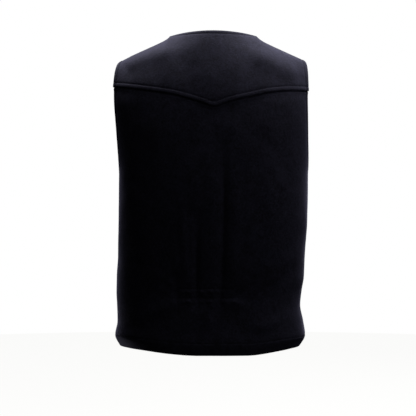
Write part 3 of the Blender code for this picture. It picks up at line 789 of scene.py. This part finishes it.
back_sheet = form(back_columns, back_row, back_top)
yoke_edge, yoke_under = yoke_levels(back_sheet, 0.0), yoke_levels(back_sheet, YOKE_LAP)
low = np.repeat(low_levels[:, None], len(back_columns), axis=1)
climb = np.linspace(0.0, 1.0, CLIMB_ROWS)[1:, None]
lap = np.linspace(0.0, 1.0, LAP_ROWS)[:, None]
climbing = low[-1] + climb * (yoke_edge - low[-1])
levels = np.vstack([low, climbing, yoke_edge + lap[1:] * (yoke_under - yoke_edge)])
points = taken(back_sheet, levels)
fade = edge_fade(points, ("start", "end"), top=False)
moved = fold_heights(points, BACK_FOLDS + BACK_CREASES) + soft_waves(points)
points += normals_of(points) * (fade * moved)[..., None]
below = levels <= ARMPIT_LEVEL
sides = np.isin(np.arange(len(back_columns)), (0, len(back_columns) - 1))[None]
swell = SWELL_HEIGHT * np.exp(-0.5 * ((yoke_edge - SWELL_DROP - levels) / SWELL_WIDTH) ** 2)
armpit_row = int(np.sum(below[:, 0])) - 1
back_body = dressed(
    "back_body_cloth",
    points,
    below & sides,
    (
        Edge("hem", points[0], "turned", HEM_STITCH, HEM_GROOVE),
        Edge("right seam", points[: armpit_row + 1, 0], "seam", 0.0),
        Edge("left seam", points[: armpit_row + 1, -1], "seam", 0.0),
        Edge("right armhole", points[armpit_row:, 0], "turned", ARMHOLE_STITCH),
        Edge("left armhole", points[armpit_row:, -1], "turned", ARMHOLE_STITCH),
        Edge("under the yoke", points[-1], "raw", 0.0),
    ),
    hem_thickness(levels),
    ramp(ARMPIT_LEVEL, ARMPIT_LEVEL + DOUBLE_RISE, levels),
    gather_heights(points) + swell,
)

# %% [markdown]
# The yoke lies on the back body, so its lower edge stands one layer further out. Its rows follow the
# western point, which keeps the band along that edge even.

# %% Yoke
YOKE_LENGTH, YOKE_CELL = 14.0, 0.021  # about the yoke's cloth, and a row's share of it
YOKE_DOUBLE = 0.3  # the armhole's second layer thickens over this share of the yoke

high = graded(0.0, 1.0, YOKE_CELL, False, True, 1 / YOKE_LENGTH)[1:, None]
lapped = yoke_edge + lap * (yoke_under - yoke_edge)
levels = np.vstack([lapped, yoke_under + high * (TOP_LEVEL - yoke_under)])
share = (levels - yoke_edge) / (TOP_LEVEL - yoke_edge)
points = taken(back_sheet, levels)
fade = edge_fade(points, ("start", "end"), top=True)
lift = (CLOTH + LAP_GAP) * (1 - ramp(YOKE_LIFT_SHARE, 1.0, share))
moved = fold_heights(points, BACK_FOLDS + BACK_CREASES) + soft_waves(points)
points += normals_of(points) * (fade * moved + lift)[..., None]
on_shoulder = np.abs(back_columns) >= NECK_SHARE
neck = np.flatnonzero(np.abs(back_columns) <= NECK_SHARE)
back_yoke = dressed(
    "back_yoke_cloth",
    points,
    (levels == TOP_LEVEL) & on_shoulder,
    (
        Edge("yoke edge", points[0], "turned", YOKE_STITCH),
        Edge("right armhole", points[:, 0], "turned", ARMHOLE_STITCH),
        Edge("left armhole", points[:, -1], "turned", ARMHOLE_STITCH),
        Edge("neck", points[-1, neck[0] : neck[-1] + 1], "turned", NECK_STITCH),
        Edge("right shoulder", points[-1, : neck[0] + 1], "seam", SHOULDER_STITCH),
        Edge("left shoulder", points[-1, neck[-1] :], "seam", SHOULDER_STITCH),
    ),
    np.full(levels.shape, CLOTH),
    ramp(0.0, YOKE_DOUBLE, share),
)

# %% [markdown]
# The fronts are alike but for the lap: the left one lies on the right one, so near the centre it is
# lifted by the right one's thickness.

# %% Fronts
UPPER_LENGTH, UPPER_CELL = 18.0, 0.017  # about the cloth above the level rows, and a row's share of it


def front_panel(side):
    """The left front for side 1, the right one for side -1."""
    name = "left" if side > 0 else "right"
    sheet = form(front_columns, lambda c, level: front_row(c, level, side), lambda c: front_top(c, side))
    low = np.repeat(low_levels[:, None], len(front_columns), axis=1)
    high = graded(0.0, 1.0, UPPER_CELL, False, True, 1 / UPPER_LENGTH)[1:, None]
    levels = np.vstack([low, low[-1] + high * (TOP_LEVEL - low[-1])])
    points = taken(sheet, levels)
    fade = edge_fade(points, ("end",), top=True)
    lift = 0.0
    if side > 0:
        lift = (hem_thickness(levels) + LAP_GAP) * (1 - ramp(FRONT_LAP, LAP_END, points[..., 0]))
    moved = fold_heights(points, FRONT_FOLDS + FRONT_CREASES) + soft_waves(points)
    points += normals_of(points) * (fade * moved + lift)[..., None]
    below = levels <= ARMPIT_LEVEL
    seam = (np.arange(len(front_columns)) == len(front_columns) - 1)[None]
    armpit = int(np.sum(below[:, 0])) - 1
    return dressed(
        f"front_{name}_cloth",
        points,
        (below & seam) | (levels == TOP_LEVEL),
        (
            Edge("hem", points[0], "turned", HEM_STITCH, HEM_GROOVE),
            Edge("front edge", points[:, 0], "turned", FRONT_STITCH),
            Edge("side seam", points[: armpit + 1, -1], "seam", 0.0),
            Edge("armhole", points[armpit:, -1], "turned", ARMHOLE_STITCH),
            Edge("shoulder", points[-1], "seam", 0.0),
        ),
        hem_thickness(levels),
        ramp(ARMPIT_LEVEL, ARMPIT_LEVEL + DOUBLE_RISE, levels),
    )


fronts = front_left, front_right = front_panel(1), front_panel(-1)

# %% [markdown]
# Each panel now stands in for its solid, which is hidden. A cutter's piece is larger than what shows:
# it has the turned hem, the turned edges and the seam allowances as well.

def cut_size(panel):
    """The flat piece's width, length and area in metres, with what is turned in."""
    across, up = lengths(panel.outer, 1), lengths(panel.outer, 0)
    width, length = across[:, -1].max() + 2 * SEAM_TURN, up[-1].max() + SEAM_TURN
    length += HEM_TURN if "hem" in panel.edges else EDGE_TURN
    up_steps, across_steps = np.diff(panel.outer, axis=0)[:, :-1], np.diff(panel.outer, axis=1)[:-1]
    quads = np.linalg.norm(np.cross(up_steps, across_steps), axis=-1)
    seams = 2 * SEAM_TURN * up[-1].mean() + (length - up[-1].max()) * across[0, -1]
    return width * CM, length * CM, (quads.sum() + seams) * CM * CM


for panel, node in (
    (back_body, "back_body"),
    (back_yoke, "back_yoke"),
    (front_left, "front_left"),
    (front_right, "front_right"),
):
    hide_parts(node)
    width, length, area = cut_size(panel)
    print(node, "is cut", round(width, 3), "by", round(length, 3), "m,", round(area, 3), "square metres")

# %% [markdown]
# ## Topstitching
#
# One stitch is a short, thick bead of thread that sinks into the cloth at both ends. It is made once, as
# a small stretched ball.

# %% One stitch
STITCH_PITCH, STITCH_LENGTH, STITCH_WIDTH, STITCH_HEIGHT = 0.33, 0.27, 0.085, 0.06
STITCH_AIM, STITCH_LIFT = 0.1, 0.1  # aimed by points this far away, lifted by this share of its height

bm = bmesh.new()
bmesh.ops.create_uvsphere(bm, u_segments=6, v_segments=4, radius=0.5)
bmesh.ops.rotate(bm, verts=bm.verts, matrix=Matrix.Rotation(0.5 * math.pi, 3, "Y"))
bmesh.ops.scale(bm, verts=bm.verts, vec=(STITCH_LENGTH * CM, STITCH_WIDTH * CM, STITCH_HEIGHT * CM))
for face in bm.faces:
    face.smooth = True
stitch = bpy.data.meshes.new("stitch")
bm.to_mesh(stitch)
bm.free()
print("a stitch has", len(stitch.polygons), "faces")

# %% [markdown]
# The stitch is repeated along lines. They are found on the cloth itself, where it is a given distance
# from an edge or at a given height.

# %% Lines on the cloth
def with_normals(panel):
    return np.concatenate([panel.outer, panel.normals], axis=-1)


def stitch_line(panel, edge, by, from_end=False):
    """Where a panel's rows or columns reach an edge's stitching, with their outward directions."""
    values, away, offset = with_normals(panel), panel.away[edge], panel.edges[edge].stitched
    if by == "columns":
        values, away = values.transpose(1, 0, 2), away.T
    if from_end:
        values, away = values[:, ::-1], away[:, ::-1]
    line = []
    for points, distances in zip(values, away):
        cell = int(np.argmax(distances > offset))
        if cell:
            part = (offset - distances[cell - 1]) / (distances[cell] - distances[cell - 1])
            line.append(points[cell - 1] + part * (points[cell] - points[cell - 1]))
    return np.array(line)


def level_line(panel, height, start, end):
    """The outer side's points at one height, between two places across, with their outward directions."""
    columns = with_normals(panel).transpose(1, 0, 2)
    line = np.array([[np.interp(height, c[:, 2], c[:, axis]) for axis in range(6)] for c in columns])
    return line[(line[:, 0] > start) & (line[:, 0] < end)]


def stitches_along(line):
    """One matrix for each stitch along a line of points with outward directions."""
    steps = np.append(0.0, np.cumsum(np.linalg.norm(np.diff(line[:, :3], axis=0), axis=1)))
    count = int(steps[-1] / STITCH_PITCH)
    found = []
    for middle in (np.arange(count) + 0.5) * steps[-1] / count:
        before, place, after = (
            [np.interp(middle + shift, steps, line[:, axis]) for axis in range(6)]
            for shift in (-STITCH_AIM, 0.0, STITCH_AIM)
        )
        along = (Vector(after[:3]) - Vector(before[:3])).normalized()
        out = Vector(place[3:]).normalized()
        beside = out.cross(along).normalized()
        out = along.cross(beside)
        turn = Matrix((along, beside, out)).transposed().to_4x4()
        lifted = Vector(place[:3]) + out * STITCH_LIFT * STITCH_HEIGHT
        found.append(Matrix.Translation(lifted * CM) @ turn)
    return found


def joined(name, shape, matrices):
    """Copies of a small mesh, one for each matrix, as one piece."""
    corners = np.array([tuple(v.co) + (1.0,) for v in shape.vertices])
    faces = [tuple(p.vertices) for p in shape.polygons]
    points = np.concatenate([(corners @ np.array(m).T)[:, :3] for m in matrices])
    sets = [[tuple(i + n * len(corners) for i in face) for face in faces] for n in range(len(matrices))]
    mesh = bpy.data.meshes.new(name)
    mesh.from_pydata(points.tolist(), [], [face for one in sets for face in one])
    mesh.shade_smooth()
    return show(name, mesh)


print("a stitch every", 10 * STITCH_PITCH, "mm")

# %% [markdown]
# Each name below is one run of the machine, so it is one piece of thread, even where it crosses from
# panel to panel.

# %% Sew the lines
seam_lines = {
    "yoke_stitching": [stitch_line(back_yoke, "yoke edge", "columns")],
    "neck_stitching": [stitch_line(back_yoke, "neck", "columns", True)],
    "shoulder_stitching": [
        stitch_line(back_yoke, "right shoulder", "columns", True),
        stitch_line(back_yoke, "left shoulder", "columns", True),
    ],
    "armhole_stitching_right": [
        stitch_line(back_yoke, "right armhole", "rows"),
        stitch_line(back_body, "right armhole", "rows"),
        stitch_line(front_right, "armhole", "rows", True),
    ],
    "armhole_stitching_left": [
        stitch_line(back_yoke, "left armhole", "rows", True),
        stitch_line(back_body, "left armhole", "rows", True),
        stitch_line(front_left, "armhole", "rows", True),
    ],
    "casing_stitching": [level_line(back_body, row, CASING_RIGHT, CASING_LEFT) for row in CASING_ROWS],
    "hem_stitching": [stitch_line(panel, "hem", "columns") for panel in (back_body, *fronts)],
    "front_edge_stitching": [stitch_line(panel, "front edge", "rows") for panel in fronts],
}
thread_pieces = []
for name, lines in seam_lines.items():
    matrices = [matrix for line in lines for matrix in stitches_along(line)]
    thread_pieces.append(joined(name, stitch, matrices))
    print(name, len(matrices), "stitches")

# %% [markdown]
# ## Buttons
#
# The front closes with five horn buttons. Their solids already have the right places, so each one's
# middle and its outward direction are read from its solid. A disc is thinnest along its axis, and that is
# the last direction that a singular value decomposition of its points gives.

# %% Where the buttons sit
def seat_of(node):
    """The middle of a button's underside and its outward direction."""
    points = np.array([vert.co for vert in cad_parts[node].data.vertices]) / CM
    middle = points.mean(axis=0)
    out = np.linalg.svd(points - middle, full_matrices=False)[2][2]
    out = out * -np.sign(out[1])
    return Vector(middle + out * ((points - middle) @ out).min()), Vector(out)


button_nodes = sorted(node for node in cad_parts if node.startswith("button_"))
seats = [seat_of(node) for node in button_nodes]
print("buttons at heights", [round(place.z, 1) for place, _ in seats], "cm")

# %% [markdown]
# A horn button is turned on a lathe: a profile is spun about the axis, with a raised rim around a dished
# middle. Four holes are then drilled through the middle.

# %% One button
BUTTON_STEPS, MERGE = 40, 0.001

Turning = namedtuple("Turning", "radius height")
BUTTON_PROFILE = (
    Turning(0.0, 0.185),  # the middle of the dish
    Turning(0.30, 0.185),
    Turning(0.50, 0.195),
    Turning(0.60, 0.215),
    Turning(0.67, 0.27),
    Turning(0.73, 0.315),
    Turning(0.81, 0.33),  # the top of the rim
    Turning(0.90, 0.32),
    Turning(0.965, 0.285),
    Turning(0.995, 0.23),
    Turning(1.0, 0.17),  # the widest place
    Turning(0.985, 0.10),
    Turning(0.94, 0.04),
    Turning(0.87, 0.0),
    Turning(0.0, 0.0),  # the middle underneath
)
HOLE_RADIUS, HOLE_PLACE = 0.10, 0.175
DRILL_HEIGHT, DRILL_LENGTH = 0.1, 0.6

bm = bmesh.new()
ring = [bm.verts.new((radius, 0.0, height)) for radius, height in BUTTON_PROFILE]
outline = [bm.edges.new(pair) for pair in zip(ring, ring[1:])]
bmesh.ops.spin(
    bm,
    geom=ring + outline,
    axis=(0, 0, 1),
    cent=(0, 0, 0),
    angle=2 * math.pi,
    steps=BUTTON_STEPS,
    use_merge=True,
)
bmesh.ops.remove_doubles(bm, verts=bm.verts, dist=MERGE)
bmesh.ops.recalc_face_normals(bm, faces=bm.faces)
turned = bpy.data.meshes.new("turned button")
bm.to_mesh(turned)
bm.free()

bm = bmesh.new()
for x in (-HOLE_PLACE, HOLE_PLACE):
    for y in (-HOLE_PLACE, HOLE_PLACE):
        bmesh.ops.create_cone(
            bm,
            cap_ends=True,
            segments=16,
            radius1=HOLE_RADIUS,
            radius2=HOLE_RADIUS,
            depth=DRILL_LENGTH,
            matrix=Matrix.Translation((x, y, DRILL_HEIGHT)),
        )
drills = bpy.data.meshes.new("drills")
bm.to_mesh(drills)
bm.free()

blank, tool = bpy.data.objects.new("blank", turned), bpy.data.objects.new("drills", drills)
for helper in (blank, tool):
    bpy.context.collection.objects.link(helper)
drilling = blank.modifiers.new("Boolean", "BOOLEAN")
drilling.object = tool
graph = bpy.context.evaluated_depsgraph_get()
button_shape = bpy.data.meshes.new_from_object(blank.evaluated_get(graph))
button_shape.name = "button"
for helper in (blank, tool):
    bpy.data.objects.remove(helper, do_unlink=True)
print("a button has", len(button_shape.polygons), "faces")

# %% [markdown]
# It is sewn on with doubled thread, in two bars across its holes. A bar is a bundle of strands that arch
# a little over the horn. Each strand is a tube: a circle carried along a short curve.

# %% Thread through the holes
STRAND_RADIUS, STRAND_SIDES, STRAND_STEPS = 0.028, 8, 7
STRAND_HEIGHT, STRAND_ARCH, STRAND_APART = 0.13, 0.10, 0.05


def strand(start, end, arch):
    """Points and faces of a tube that arches up between start and end, and dips into the holes there."""
    start, end = np.array(start), np.array(end)
    t = np.linspace(0.0, 1.0, STRAND_STEPS)[:, None]
    spine = start + t * (end - start)
    spine[:, 2] += arch * np.sqrt(np.sin(np.pi * t[:, 0]))
    beside = np.cross((end - start) / np.linalg.norm(end - start), (0.0, 0.0, 1.0))
    angle = np.linspace(0.0, 2 * np.pi, STRAND_SIDES, endpoint=False)
    around = np.cos(angle)[:, None] * beside + np.sin(angle)[:, None] * np.array((0.0, 0.0, 1.0))
    points = (spine[:, None] + STRAND_RADIUS * around).reshape(-1, 3)
    faces = []
    for step in range(STRAND_STEPS - 1):
        for side in range(STRAND_SIDES):
            here = step * STRAND_SIDES + side
            next_to = step * STRAND_SIDES + (side + 1) % STRAND_SIDES
            faces.append((here, next_to, next_to + STRAND_SIDES, here + STRAND_SIDES))
    return points, faces


points, faces = [], []
for y in (-HOLE_PLACE, HOLE_PLACE):
    for at in (y - STRAND_APART, y, y + STRAND_APART):
        first = STRAND_SIDES * STRAND_STEPS * len(points)
        ends = [(x, at, STRAND_HEIGHT) for x in (-HOLE_PLACE, HOLE_PLACE)]
        tube, sides = strand(*ends, STRAND_ARCH)
        faces += [tuple(first + corner for corner in face) for face in sides]
        points.append(tube)
sewing = bpy.data.meshes.new("sewing")
sewing.from_pydata(np.concatenate(points).tolist(), [], faces)
sewing.shade_smooth()
print("its thread has", len(sewing.polygons), "faces")

# %% [markdown]
# Each button is a copy of that mesh, moved to its seat. Sewn by hand, no two have their holes at the same
# angle.

# %% Place the buttons
SPIN_MOST, SPIN_STEP, SPIN_START = 0.35, 2.4, 0.6  # radians
HORN_SHARP = 35.0  # edges that bend more than this many degrees are shaded sharp

button_pieces, sewing_pieces = [], []
for number, (node, (place, out)) in enumerate(zip(button_nodes, seats)):
    spin = Matrix.Rotation(SPIN_MOST * math.sin(SPIN_STEP * number + SPIN_START), 4, "Z")
    to_seat = Matrix.Translation(place) @ out.to_track_quat("Z", "Y").to_matrix().to_4x4() @ spin
    for shape, kind, made in ((button_shape, "horn", button_pieces), (sewing, "sewing", sewing_pieces)):
        mesh = shape.copy()
        mesh.transform(Matrix.Scale(CM, 4) @ to_seat)
        made.append(show(f"{node}_{kind}", mesh))
    button_pieces[-1].data.shade_smooth()
    button_pieces[-1].data.set_sharp_from_angle(angle=math.radians(HORN_SHARP))
    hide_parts(node)
print(len(button_pieces), "buttons sewn on")

# %% [markdown]
# A buttonhole is a slit whose edges are covered with close stitches that lie across it. It starts under
# the button, at the shank, and runs on towards the side, because the closed front pulls that way.

# %% Buttonholes
HOLE_START, HOLE_END = -0.25, 2.05
PURL_PITCH, PURL_REACH = 0.06, 0.11  # between two stitches, and from the slit to their middles
PURL_LIFT, END_PURLS = 0.015, 8
NEAR_ROWS = 1.5  # rows of cloth this near in height are enough to find a place


def surface_at(panel, x, z):
    """The outer side's point at x and z, with its outward direction."""
    values = with_normals(panel)
    near = values[np.abs(values[:, :, 2].mean(axis=1) - z) < NEAR_ROWS]
    rows = np.array([[np.interp(x, row[:, 0], row[:, axis]) for axis in range(6)] for row in near])
    return np.array([np.interp(z, rows[:, 2], rows[:, axis]) for axis in range(6)])


def purl(x, z, turn):
    """One stitch on the left front, lying at an angle to the level."""
    at = surface_at(front_left, x, z)
    out = Vector(at[3:]).normalized()
    level = Vector((0.0, 0.0, 1.0)).cross(out).normalized()
    along = Matrix.Rotation(turn, 3, out) @ level
    frame_of = Matrix((along, out.cross(along), out)).transposed().to_4x4()
    return Matrix.Translation((Vector(at[:3]) + out * PURL_LIFT) * CM) @ frame_of


purls = []
for place, _ in seats:
    for x in np.arange(HOLE_START, HOLE_END, PURL_PITCH):
        purls += [purl(x, place.z + side * PURL_REACH, 0.5 * math.pi) for side in (-1, 1)]
    for step in range(1, END_PURLS):
        angle = math.pi * step / END_PURLS - 0.5 * math.pi
        over, up = PURL_REACH * math.cos(angle), PURL_REACH * math.sin(angle)
        purls.append(purl(HOLE_END + over, place.z + up, -angle))
        purls.append(purl(HOLE_START - over, place.z + up, angle))
thread_pieces.append(joined("buttonholes", stitch, purls))
print(len(purls), "buttonhole stitches")

# %% [markdown]
# ## Finishes
#
# Colours are written as the hex values that a paint program shows. Blender's shaders work in linear
# light, so one function turns them.

# %% Colours and nodes
def linear(text):
    """A hex colour as the shader's red, green, blue and alpha."""
    values = [int(text[i : i + 2], 16) / 255 for i in (1, 3, 5)]
    return [v / 12.92 if v <= 0.04045 else ((v + 0.055) / 1.055) ** 2.4 for v in values] + [1.0]


def add(tree, kind, settings=None, links=None):
    """Adds a node, sets its properties and sockets, and links its inputs to other nodes' outputs."""
    node = tree.nodes.new(kind)
    for name, value in (settings or {}).items():
        if isinstance(name, int) or name in node.inputs:
            node.inputs[name].default_value = value
        else:
            setattr(node, name, value)
    for name, source in (links or {}).items():
        tree.links.new(source, node.inputs[name])
    return node


def new_material(name):
    """A new material, its node tree and its main shader."""
    made = bpy.data.materials.new(name)
    made.use_nodes = True
    return made, made.node_tree, made.node_tree.nodes["Principled BSDF"]


print("middle grey is", round(linear("#808080")[0], 3), "in linear light")

# %% [markdown]
# Melton is dull from straight on and lighter where it is seen at a slant, because the tips of its fibres
# catch the light. That is sheen. Up close the matted fibres make a fine mottle of darker and lighter
# flecks.

# %% Fulled wool melton
PATCH_MM, MOTTLE_MM, FLECK_MM, FIBRE_MM = 30.0, 11.0, 4.0, 1.1


def wool_melton():
    """Fulled wool, dyed black: a matt nap with a cool bloom at grazing angles."""
    made, tree, shader = new_material("fulled black wool melton")
    place = add(tree, "ShaderNodeTexCoord")
    here = {"Vector": place.outputs["Object"]}
    patch = add(tree, "ShaderNodeTexNoise", {"Scale": 1000 / PATCH_MM, "Detail": 1.0}, here)
    mottle = add(tree, "ShaderNodeTexNoise", {"Scale": 1000 / MOTTLE_MM, "Detail": 3.0}, here)
    specks = {"Scale": 1000 / FLECK_MM, "Detail": 2.0, "Roughness": 0.6}
    fleck = add(tree, "ShaderNodeTexNoise", specks, here)
    follow = add(tree, "ShaderNodeMapping", {"Scale": (1.0, 0.35, 1.0)}, {"Vector": place.outputs["UV"]})
    fine = {"Scale": 1000 / FIBRE_MM, "Detail": 3.0, "Roughness": 0.7}
    fibre = add(tree, "ShaderNodeTexNoise", fine, {"Vector": follow.outputs[0]})
    total = patch.outputs["Fac"]
    for noise, weight in ((mottle, 1.3), (fleck, 2.4), (fibre, 1.6)):
        blend = {"operation": "MULTIPLY_ADD", 1: weight}
        total = add(tree, "ShaderNodeMath", blend, {0: noise.outputs["Fac"], 2: total}).outputs[0]
    tone = add(tree, "ShaderNodeMapRange", {"From Min": 2.4, "From Max": 3.9}, {"Value": total})
    shades = {"data_type": "RGBA", 6: linear("#0f0e17"), 7: linear("#282736")}
    color = add(tree, "ShaderNodeMix", shades, {0: tone.outputs[0]})
    tree.links.new(color.outputs[2], shader.inputs["Base Color"])
    relief = {"operation": "MULTIPLY_ADD", 1: 0.5}
    height = add(tree, "ShaderNodeMath", relief, {0: fibre.outputs["Fac"], 2: fleck.outputs["Fac"]})
    nap = {"Strength": 0.6, "Distance": 0.0006}
    bump = add(tree, "ShaderNodeBump", nap, {"Height": height.outputs[0]})
    tree.links.new(bump.outputs[0], shader.inputs["Normal"])
    shader.inputs["Roughness"].default_value = 0.92
    shader.inputs["Specular IOR Level"].default_value = 0.15
    shader.inputs["Sheen Weight"].default_value = 0.35
    shader.inputs["Sheen Roughness"].default_value = 0.45
    shader.inputs["Sheen Tint"].default_value = linear("#a9a6cc")
    return made


melton = wool_melton()
for panel in (back_body, back_yoke, *fronts):
    panel.piece.data.materials.append(melton)
print(melton.name, "has", len(melton.node_tree.nodes), "nodes")

# %% [markdown]
# The topstitching is black polyester-cotton thread, a little smoother than the cloth.

# %% Thread
TWIST_MM = 0.4


def sewing_thread():
    """Spun thread: slightly glossier than the wool, with a fine twist."""
    made, tree, shader = new_material("black spun sewing thread")
    place = add(tree, "ShaderNodeTexCoord")
    here = {"Vector": place.outputs["Object"]}
    twist = add(tree, "ShaderNodeTexNoise", {"Scale": 1000 / TWIST_MM, "Detail": 1.0}, here)
    shades = {"data_type": "RGBA", 6: linear("#07070a"), 7: linear("#121117")}
    color = add(tree, "ShaderNodeMix", shades, {0: twist.outputs["Fac"]})
    tree.links.new(color.outputs[2], shader.inputs["Base Color"])
    shader.inputs["Roughness"].default_value = 0.8
    shader.inputs["Specular IOR Level"].default_value = 0.12
    return made


thread = sewing_thread()
for piece in thread_pieces + sewing_pieces:
    piece.data.materials.append(thread)
print(len(thread_pieces + sewing_pieces), "pieces of thread")

# %% [markdown]
# Polished horn is almost black, with soft brown streaks that run along the horn's growth. Its surface is
# satin, and a little rougher where the streaks are.

# %% Black horn
STREAKS_PER_M, SCRATCHES_PER_M = 90.0, 1500.0


def black_horn():
    """Turned and polished horn: satin, with faint brown growth streaks."""
    made, tree, shader = new_material("polished black horn")
    place = add(tree, "ShaderNodeTexCoord")
    here = {"Vector": place.outputs["Object"]}
    stretch = add(tree, "ShaderNodeMapping", {"Scale": (1.0, 1.0, 6.0)}, here)
    growth = {"Scale": STREAKS_PER_M, "Detail": 4.0, "Distortion": 0.6}
    streak = add(tree, "ShaderNodeTexNoise", growth, {"Vector": stretch.outputs[0]})
    how_brown = {"Value": streak.outputs["Fac"]}
    shades = {"data_type": "RGBA", 6: linear("#0b0908"), 7: linear("#241c17")}
    tone = add(tree, "ShaderNodeMapRange", {"From Min": 0.5, "From Max": 0.8}, how_brown)
    color = add(tree, "ShaderNodeMix", shades, {0: tone.outputs[0]})
    tree.links.new(color.outputs[2], shader.inputs["Base Color"])
    rough = add(tree, "ShaderNodeMapRange", {"To Min": 0.34, "To Max": 0.48}, how_brown)
    tree.links.new(rough.outputs[0], shader.inputs["Roughness"])
    scratch = add(tree, "ShaderNodeTexNoise", {"Scale": SCRATCHES_PER_M, "Detail": 2.0}, here)
    polish = {"Strength": 0.15, "Distance": 0.0001}
    bump = add(tree, "ShaderNodeBump", polish, {"Height": scratch.outputs["Fac"]})
    tree.links.new(bump.outputs[0], shader.inputs["Normal"])
    return made


horn = black_horn()
for piece in button_pieces:
    piece.data.materials.clear()
    piece.data.materials.append(horn)
print(horn.name, "on", len(button_pieces), "buttons")

# %% [markdown]
# ## Studio
#
# The picture is taken against white. The floor is a plain pale disc below the vest, and the world around
# it is white to the camera alone. Together they add no more than a trace of light, because a black cloth
# shows its form only in a few strong lights.

# %% Floor and world
FLOOR_HEIGHT, FLOOR_RADIUS, FLOOR_SIDES = -1.05, 4.0, 96
AMBIENT = 0.004

bm = bmesh.new()
lowered = Matrix.Translation((0, 0, FLOOR_HEIGHT))
bmesh.ops.create_circle(bm, cap_ends=True, segments=FLOOR_SIDES, radius=FLOOR_RADIUS, matrix=lowered)
floor_mesh = bpy.data.meshes.new("floor")
bm.to_mesh(floor_mesh)
bm.free()
floor = bpy.data.objects.new("floor", floor_mesh)
bpy.context.collection.objects.link(floor)
floor.visible_diffuse = False
floor.visible_glossy = False
paper, _, paper_shader = new_material("white studio paper")  # plain, and white by its own light
paper_shader.inputs["Base Color"].default_value = linear("#303030")
paper_shader.inputs["Roughness"].default_value = 0.9
paper_shader.inputs["Emission Color"].default_value = linear("#fafaf9")
paper_shader.inputs["Emission Strength"].default_value = 1.0
paper.cycles.emission_sampling = "NONE"  # it only looks lit, and lights nothing
floor_mesh.materials.append(paper)

world = bpy.data.worlds.new("studio")
world.use_nodes = True
bpy.context.scene.world = world
bpy.context.scene.view_settings.view_transform = "Standard"
tree = world.node_tree
seen = add(tree, "ShaderNodeBackground", {"Color": linear("#ffffff"), "Strength": 1.0})
felt = add(tree, "ShaderNodeBackground", {"Color": linear("#dfe6f5"), "Strength": AMBIENT})
path = add(tree, "ShaderNodeLightPath")
choice = {0: path.outputs["Is Camera Ray"], 1: felt.outputs[0], 2: seen.outputs[0]}
mixed = add(tree, "ShaderNodeMixShader", None, choice)
tree.links.new(mixed.outputs[0], tree.nodes["World Output"].inputs[0])
print("floor at", FLOOR_HEIGHT, "m")

# %% [markdown]
# The strongest light hangs high above and a little before the vest, so it grazes the back and leaves it
# dark. Lights over the shoulders brighten the yoke, and low ones from the right draw the long troughs. A
# small lamp low at the left gives the edge of the skirt its rim, and another lies under the hem like
# light from a floor.

# %% Lights
BLADES, HIPS = (0.0, 0.1, -0.12), (0.2, 0.0, -0.55)  # where they are aimed
Lamp = namedtuple("Lamp", "name place aim size watts")
LAMPS = (
    Lamp("key, above and before the vest", (-0.2, -0.35, 1.5), BLADES, 0.6, 30.5),
    Lamp("over the left shoulder", (0.42, -0.3, 0.85), BLADES, 0.4, 6.6),
    Lamp("over the right shoulder", (-0.4, 0.05, 0.75), BLADES, 0.3, 2.8),
    Lamp("near, upper left", (0.3, 0.2, 0.2), BLADES, 0.15, 0.1),
    Lamp("low over the yoke", (-0.22, 0.35, 0.6), BLADES, 0.3, 1.4),
    Lamp("near, upper right", (-0.5, 0.1, 0.5), BLADES, 0.2, 1.4),
    Lamp("behind, upper right", (-0.7, 0.8, 0.3), BLADES, 0.3, 0.85),
    Lamp("right side", (-2.6, 0.2, 0.2), BLADES, 0.8, 1.8),
    Lamp("left rim", (0.33, -0.05, -0.84), HIPS, 0.1, 0.28),
    Lamp("bounce from the floor", (-0.1, 0.35, -0.98), HIPS, 0.25, 0.08),
    Lamp("front", (-1.2, -2.4, 0.6), BLADES, 1.2, 18.0),
)
for lamp in LAMPS:
    data = bpy.data.lights.new(lamp.name, "AREA")
    data.shape = "DISK"
    data.size = lamp.size
    data.energy = lamp.watts
    light = bpy.data.objects.new(lamp.name, data)
    light.location = lamp.place
    light.rotation_euler = (Vector(lamp.aim) - Vector(lamp.place)).to_track_quat("-Z", "Y").to_euler()
    light.visible_camera = False
    bpy.context.collection.objects.link(light)
print(len(LAMPS), "white lamps of", round(sum(lamp.watts for lamp in LAMPS), 1), "W together")
